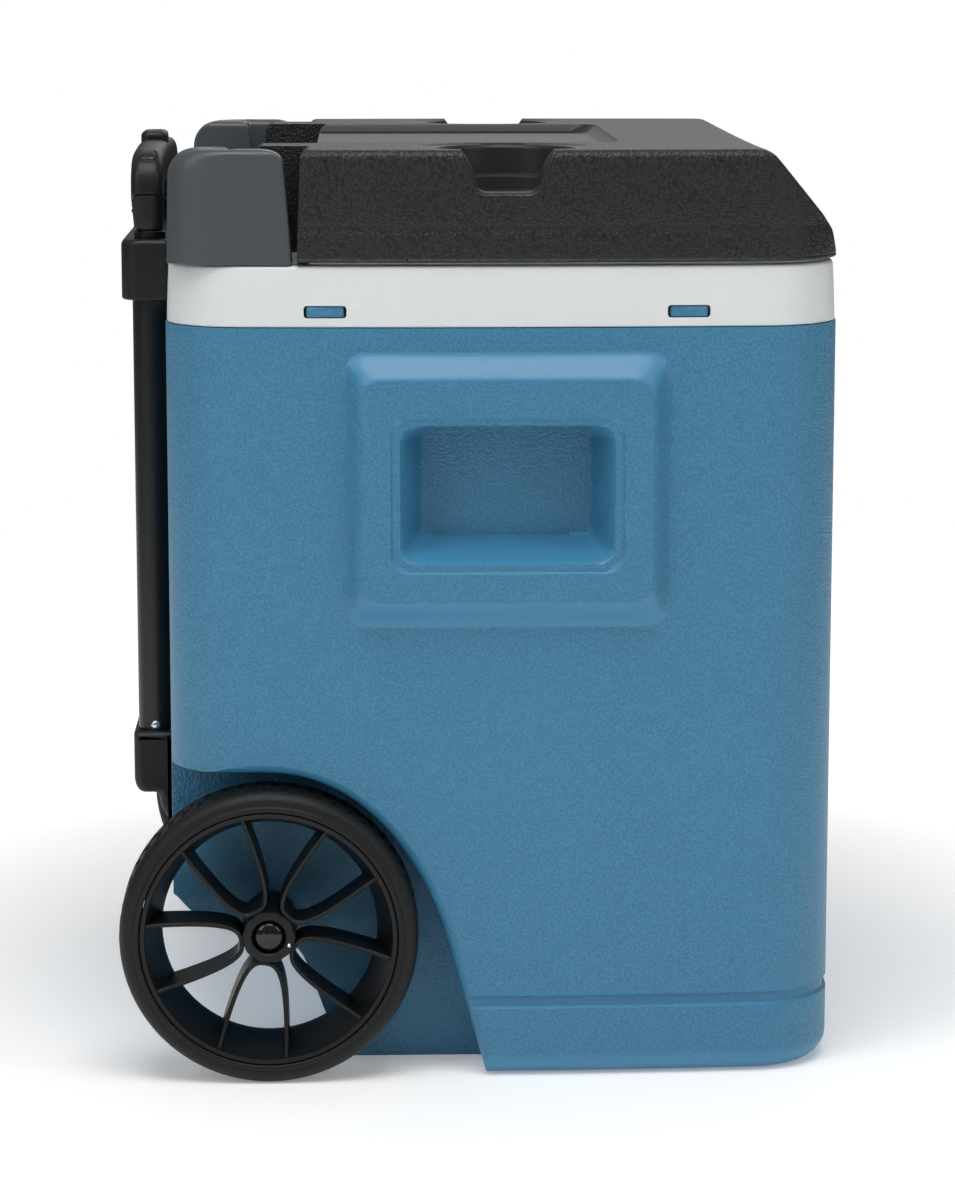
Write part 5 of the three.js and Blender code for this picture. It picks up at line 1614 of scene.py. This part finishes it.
@dataclass
class Wheel:
    """Spoked rim with a treaded tyre. It is drawn with its outer face at 0 and inboard positive."""

    side: Side
    width: float = 42.0
    seat: float = 77.0
    hub: float = 16.0
    pairs: int = 5
    half_angle: float = 16.0
    tilt: float = -27.8
    blocks: int = 54
    tread: tuple[float, float] = (8.5, 33.5)  # places across between which the blocks are cut
    slot: tuple[float, float] = (0.14, 1.1)  # half width as a share of a block, and depth
    groove: tuple[float, float, float] = (20.0, 22.0, 1.7)  # places across, and depth

    def placed(self, rings: Array) -> Array:
        """Puts rings drawn in the wheel's own frame on their side of the chest.

        Args:
            rings: Points (..., 3).

        Returns:
            The placed points.
        """
        s = self.side.value
        x, y, z = rings[..., 0], rings[..., 1], rings[..., 2]
        return np.stack([AXLE_X - s * x, s * (WHEEL_Y - y), AXLE_Z + z], axis=-1)

    def tyre(self, paint: Finishes) -> None:
        """Tyre: round shoulders and two staggered rows of blocks parted by narrow grooves.

        The radius at (angle, place across) is the smooth section's, less a groove depth wherever
        the point lies in the centre groove or between two blocks of its row.

        Args:
            paint: The materials.
        """
        section = np.array([
            [77.0, 1.4], [77.5, 0.6], [78.4, 0.1], [79.6, 0.1], [80.3, 0.6], [80.8, 1.3], [81.9, 1.2],
            [83.6, 1.5],
            [85.4, 2.4], [87.0, 3.8], [88.2, 5.6], [88.8, 7.4], [89, 9.2], [89, 13.2], [89, 16.8], [89, 19.6],
            [88.99, 19.9], [88.98, 20.2], [88.98, 21.8], [88.99, 22.1], [89, 22.4], [89, 25.2], [89, 28.8],
            [89, 32.4], [89, 33.8], [88.8, 35.2], [88.2, 36.8], [87.0, 38.5], [85.4, 39.8], [83.6, 40.6],
            [82.4, 41.1], [79.2, 41.9], [77.0, 40.8]])
        count = self.blocks * 8
        angle = np.linspace(0, 2 * math.pi, count, endpoint=False)
        radius = np.broadcast_to(section[:, 0, None], (len(section), count)).copy()
        across_ = np.broadcast_to(section[:, 1, None], radius.shape)
        phase = angle[None, :] * self.blocks / (2 * math.pi)
        phase = np.where(across_ < self.width / 2, phase, phase + 0.5)
        place = np.abs(phase - np.round(phase))
        slot = (across_ > self.tread[0]) & (across_ < self.tread[1]) & (place < self.slot[0])
        middle = (across_ > self.groove[0]) & (across_ < self.groove[1])
        radius = radius - np.where(slot, self.slot[1], 0.0) - np.where(middle, self.groove[2], 0.0)
        rings = np.stack([radius * np.sin(angle), across_, radius * np.cos(angle)], axis=-1)
        made = build(f"tyre {self.side.word}", Patch(self.placed(rings), looped=True))
        finished(made, f"wheel_{self.side.word}", paint.tyre, [f"tyre_{self.side.word}"], 36)

    def spoke(self, turn: float) -> Patch:
        """One arch of two spokes: the distance out grows with the cube of the distance aside.

        Args:
            turn: Direction of the arch from straight up, in radians.

        Returns:
            The arch as a deep blade with rounded front edges.
        """
        half = math.radians(self.half_angle)
        crown = self.hub + 0.6
        rim = self.seat - 3.5
        reach, width = rim * math.cos(half) - crown, rim * math.sin(half)
        share = np.linspace(-1, 1, 41)
        v = width * np.sign(share) * np.abs(share) ** 0.7
        u = crown + reach * np.abs(v / width) ** 3
        line = np.stack([v, u], axis=1)
        along = np.gradient(line, axis=0)
        normal = np.stack([-along[:, 1], along[:, 0]], axis=1)
        normal /= np.linalg.norm(normal, axis=1)[:, None]
        rings = []
        for depth, thick in ((2.7, 0.75), (3.0, 1.15), (3.4, 1.3), (34.0, 1.5), (34.5, 1.1)):
            dip = 5.5 * (1 - np.abs(share)) ** 0.5 if depth < 10 else 0 * share
            face = np.vstack([line + normal * thick, (line - normal * thick)[::-1]])
            back = np.concatenate([dip, dip[::-1]])
            c, s = math.cos(turn), math.sin(turn)
            x, z = face[:, 0] * c + face[:, 1] * s, -face[:, 0] * s + face[:, 1] * c
            rings.append(np.column_stack([x, depth + back, z]))
        return Patch(self.placed(np.stack(rings)))

    def rim(self, paint: Finishes) -> None:
        """Rim barrel, hub with a scalloped collar, and five arches of spokes.

        Args:
            paint: The materials.
        """
        w, seat = self.width, self.seat - 0.4
        barrel = [(seat - 3.2, 1.9), (seat - 2.8, 1.2), (seat - 0.4, 1.0), (seat, 1.4), (seat, w - 1.6),
                  (seat - 4, w - 1.6), (seat - 12, w - 4), (seat - 12, w - 8), (seat - 10.4, w - 13),
                  (seat - 4.4, 6.0)]
        hub = [(5.3, 14), (9.9, 14), (10.2, 13.6), (10.2, 6.7), (10.8, 6.1), (14.6, 6.0), (15.6, 6.5),
               (16, 7.6),
               (16.6, w + 13.6), (15.8, w + 14), (5.3, w + 14)]
        hub_rings = turned(hub, "y", (0, 0, 0), 80)
        angle = np.linspace(0, 2 * math.pi, 80, endpoint=False)
        scallop = 1 - 0.035 * (0.5 + 0.5 * np.cos(10 * angle))
        hub_rings[5:9, :, 0] *= scallop
        hub_rings[5:9, :, 2] *= scallop
        pitch = 2 * math.pi / self.pairs
        spokes = [self.spoke(math.radians(self.tilt) + k * pitch) for k in range(self.pairs)]
        made = build(f"wheel rim {self.side.word}",
                     Patch(self.placed(turned(barrel, "y", (0, 0, 0), 120)), looped=True),
                     Patch(self.placed(hub_rings), looped=True), *spokes)
        finished(made, f"wheel_{self.side.word}", paint.rim, [f"wheel_rim_{self.side.word}"], 36)

    def cap(self, paint: Finishes) -> None:
        """Domed axle cap in the hub.

        Args:
            paint: The materials.
        """
        profile = [(r, self.side.value * (WHEEL_Y - 13.7 + y)) for r, y in (
            (0, 0), (9.6, 0), (9.7, 3.4), (9.3, 4.6), (8.2, 6.0), (6.4, 7.1), (4.2, 7.7), (2.0, 7.95),
            (0, 8.0))]
        made = lathe(f"axle cap {self.side.word}", profile, "y", (AXLE_X, 0, AXLE_Z))
        finished(made, "root", paint.cap, [f"axle_cap_{self.side.word}"], 40)

    def pin(self, paint: Finishes) -> None:
        """Small steel pin in the face of the hub.

        Args:
            paint: The materials.
        """
        profile = [(0, 5.4), (0.8, 5.4), (1.2, 5.8), (1.2, 12.0), (0, 12.0)]
        rings = turned(profile, "y", (12, 0, -5), 20)
        made = build(f"hub pin {self.side.word}", Patch(self.placed(rings), capped=False))
        finished(made, f"wheel_{self.side.word}", paint.steel, [f"hub_pin_{self.side.word}"], 40)

    def make(self, paint: Finishes) -> None:
        """Builds the wheel.

        Args:
            paint: The materials.
        """
        self.tyre(paint)
        self.rim(paint)
        self.cap(paint)
        self.pin(paint)


@dataclass
class Drain:
    """Drain on the left side: spout through both walls, gasket and a ribbed screw cap."""

    ribs: int = 18

    def make(self, paint: Finishes) -> None:
        """Builds the spout, the gasket and the cap.

        Args:
            paint: The materials.
        """
        pad = float(PLAN.side_at(DRAIN_X)) + 1
        centre = (DRAIN_X, 0, DRAIN_Z)
        spout = [(7, 179.2), (7.4, 179), (9.7, 179), (10, 179.4), (10, pad + 2.3), (15.3, pad + 2.3),
                 (15.5, pad + 2.6), (15.5, pad + 4.3), (15.0, pad + 4.8), (10, pad + 4.8),
                 (10, pad + 8.7), (9.7, pad + 9), (7, pad + 9)]
        made = lathe("drain spout", spout, "y", centre, 56, looped=True)
        finished(made, "root", paint.liner, ["drain_spout"], 40)
        seal = [(10.3, pad + 0.3), (14.3, pad + 0.3), (14.6, pad + 1.1), (14.3, pad + 2.0), (10.3, pad + 2.0)]
        made = lathe("drain gasket", seal, "y", centre, 56, looped=True)
        finished(made, "root", paint.tyre, ["drain_gasket"], 50)
        inside = pad + 5.2
        cap = [(0, pad + 9.4), (10.4, pad + 9.4), (10.4, inside), (13.0, inside), (13.5, inside + 0.5),
               (13.5, 229.6), (12.9, 230.6), (11.6, 231.0), (10.4, 230.9), (9.8, 230.2), (0, 230.0)]
        rings = turned(cap, "y", centre, self.ribs * 6)
        angle = np.linspace(0, 2 * math.pi, self.ribs * 6, endpoint=False)
        rib = 1 - 0.05 * soft(0.5 + 0.9 * np.cos(self.ribs * angle))
        offset = rings[4:6, :, [0, 2]] - [DRAIN_X, DRAIN_Z]
        rings[4:6, :, 0] = DRAIN_X + offset[..., 0] * rib
        rings[4:6, :, 2] = DRAIN_Z + offset[..., 1] * rib
        made = build("drain cap", Patch(rings, capped=False))
        finished(made, "drain_cap", paint.cover, ["drain_cap"], 36)


# --------------------------------------------------------------------------------------
# CAD nodes that keep their shape, and the studio
# --------------------------------------------------------------------------------------

def dress_cad_nodes(paint: Finishes) -> None:
    """Gives the CAD nodes that stay their materials, by the record's slot of each.

    Args:
        paint: The materials.
    """
    by_slot = {
        "shell_blue": paint.shell, "liner_white": paint.liner, "lid_black": paint.lid,
        "cover_grey": paint.cover, "handle_black": paint.nylon, "tube_black": paint.tube,
        "rim_black": paint.rim, "cap_black": paint.cap, "tyre": paint.tyre,
        "seal_rubber": paint.tyre, "steel": paint.steel, "foam": paint.foam}
    for entry in frame["record"]["subparts"]:
        node = frame["nodes"][entry["node"]]
        node.data.materials.clear()
        node.data.materials.append(by_slot[entry["material_slot"]])
    log.info("%-22s %7d nodes", "CAD nodes dressed", len(frame["nodes"]))


@dataclass
class Studio:
    """Pale floor, soft lights, and the camera."""

    eye: tuple[float, float, float] = (-0.071, -2.420, 0.664)
    aim: tuple[float, float, float] = (-0.0025, -0.220, 0.291)
    lens: float = 113.9

    def floor(self) -> None:
        """Wide pale floor with a painted glow: weakest near the object, where the floor reads darker as
        painted shade, and strongest far off, where it blends into the white behind it.
        """
        mesh = bpy.data.meshes.new("floor")
        half = 2.0
        mesh.from_pydata([(-half, -half, 0), (half, -half, 0), (half, half, 0), (-half, half, 0)], [],
                         [(0, 1, 2, 3)])
        plane = bpy.data.objects.new("floor", mesh)
        bpy.context.scene.collection.objects.link(plane)
        material, tree, shader = new_material("pale studio floor")
        shader.inputs["Base Color"].default_value = (0.9, 0.9, 0.9, 1)
        shader.inputs["Roughness"].default_value = 0.75
        shader.inputs["Specular IOR Level"].default_value = 0.1
        shader.inputs["Emission Color"].default_value = (1, 1, 1, 1)
        place = add(tree, "ShaderNodeTexCoord").outputs["Object"]
        away = add(tree, "ShaderNodeVectorMath", {"operation": "LENGTH"}, {0: place}).outputs["Value"]
        # Painted glow of the floor itself, less near the object: painted shade round it, and white far off.
        painted_glow = add(tree, "ShaderNodeMapRange",
                   {"interpolation_type": "SMOOTHSTEP", "From Min": 0.22, "From Max": 0.75, "To Min": 0.2,
                    "To Max": 0.5},
                   {"Value": away})
        tree.links.new(painted_glow.outputs[0], shader.inputs["Emission Strength"])
        mesh.materials.append(material)

    def light(self, name: str, place: tuple[float, float, float], size: tuple[float, float],
              power: float) -> None:
        """Rectangular soft light that looks at the middle of the object.

        Args:
            name: Name of the light.
            place: Where it hangs, in metres.
            size: Width and height in metres.
            power: Watts.
        """
        data = bpy.data.lights.new(name, "AREA")
        data.shape, data.size, data.size_y, data.energy = "RECTANGLE", size[0], size[1], power
        lamp = bpy.data.objects.new(name, data)
        lamp.location = place
        direction = Vector((0, 0, 0.28)) - Vector(place)
        lamp.rotation_euler = direction.to_track_quat("-Z", "Y").to_euler()
        bpy.context.scene.collection.objects.link(lamp)

    def world(self) -> None:
        """White to look at; a dimmer, softly graded surround for everything that it lights."""
        world = bpy.data.worlds.new("studio")
        bpy.context.scene.world = world
        world.use_nodes = True
        tree = world.node_tree
        tree.nodes.clear()
        seen = add(tree, "ShaderNodeLightPath").outputs["Is Camera Ray"]
        direction = add(tree, "ShaderNodeTexCoord").outputs["Generated"]
        parts = add(tree, "ShaderNodeSeparateXYZ", links={0: direction})
        up = add(tree, "ShaderNodeMapRange",
                 {"From Min": -0.2, "From Max": 0.9, "To Min": 0.05, "To Max": 0.4},
                 {"Value": parts.outputs["Z"]})
        white = add(tree, "ShaderNodeBackground", {"Color": (1, 1, 1, 1), "Strength": 1.0})
        glow = add(tree, "ShaderNodeBackground", {"Color": (1, 1, 1, 1)}, {"Strength": up.outputs[0]})
        both = add(tree, "ShaderNodeMixShader", links={0: seen, 1: glow.outputs[0], 2: white.outputs[0]})
        add(tree, "ShaderNodeOutputWorld", links={"Surface": both.outputs[0]})

    def camera(self) -> None:
        """Long lens at about the height of the lid."""
        data = bpy.data.cameras.new("camera")
        data.lens, data.sensor_width, data.sensor_fit = self.lens, 36.0, "AUTO"
        data.clip_start, data.clip_end = 0.1, 60.0
        camera = bpy.data.objects.new("camera", data)
        camera.location = self.eye
        direction = Vector(self.aim) - Vector(self.eye)
        camera.rotation_euler = direction.to_track_quat("-Z", "Y").to_euler()
        bpy.context.scene.collection.objects.link(camera)
        bpy.context.scene.camera = camera

    def make(self) -> None:
        """Sets up the floor, the lights and the camera."""
        self.floor()
        self.world()
        self.light("top softbox", (-0.1, -1.0, 2.3), (1.6, 1.1), 30.0)
        self.light("left softbox", (-2.0, -1.9, 1.8), (1.0, 1.4), 15.0)
        self.light("right softbox", (2.2, -1.6, 1.6), (1.0, 1.4), 11.0)
        self.light("rear softbox", (0.6, 2.4, 1.6), (2.0, 1.4), 8.0)
        self.camera()
        bpy.context.scene.view_settings.view_transform = "Standard"
        bpy.context.scene.view_settings.look = "None"


def main() -> None:
    """Builds the cooler piece by piece, then the studio."""
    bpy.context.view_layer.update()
    paint = Finishes()
    dress_cad_nodes(paint)
    Chest().make(paint)
    Liner().make(paint)
    Lid().make(paint)
    for side in Side:
        HingeCover(side).make(paint)
        Wheel(side).make(paint)
    PullHandle().make(paint)
    Drain().make(paint)
    Studio().make()


if __name__ == "__main__":
    main()
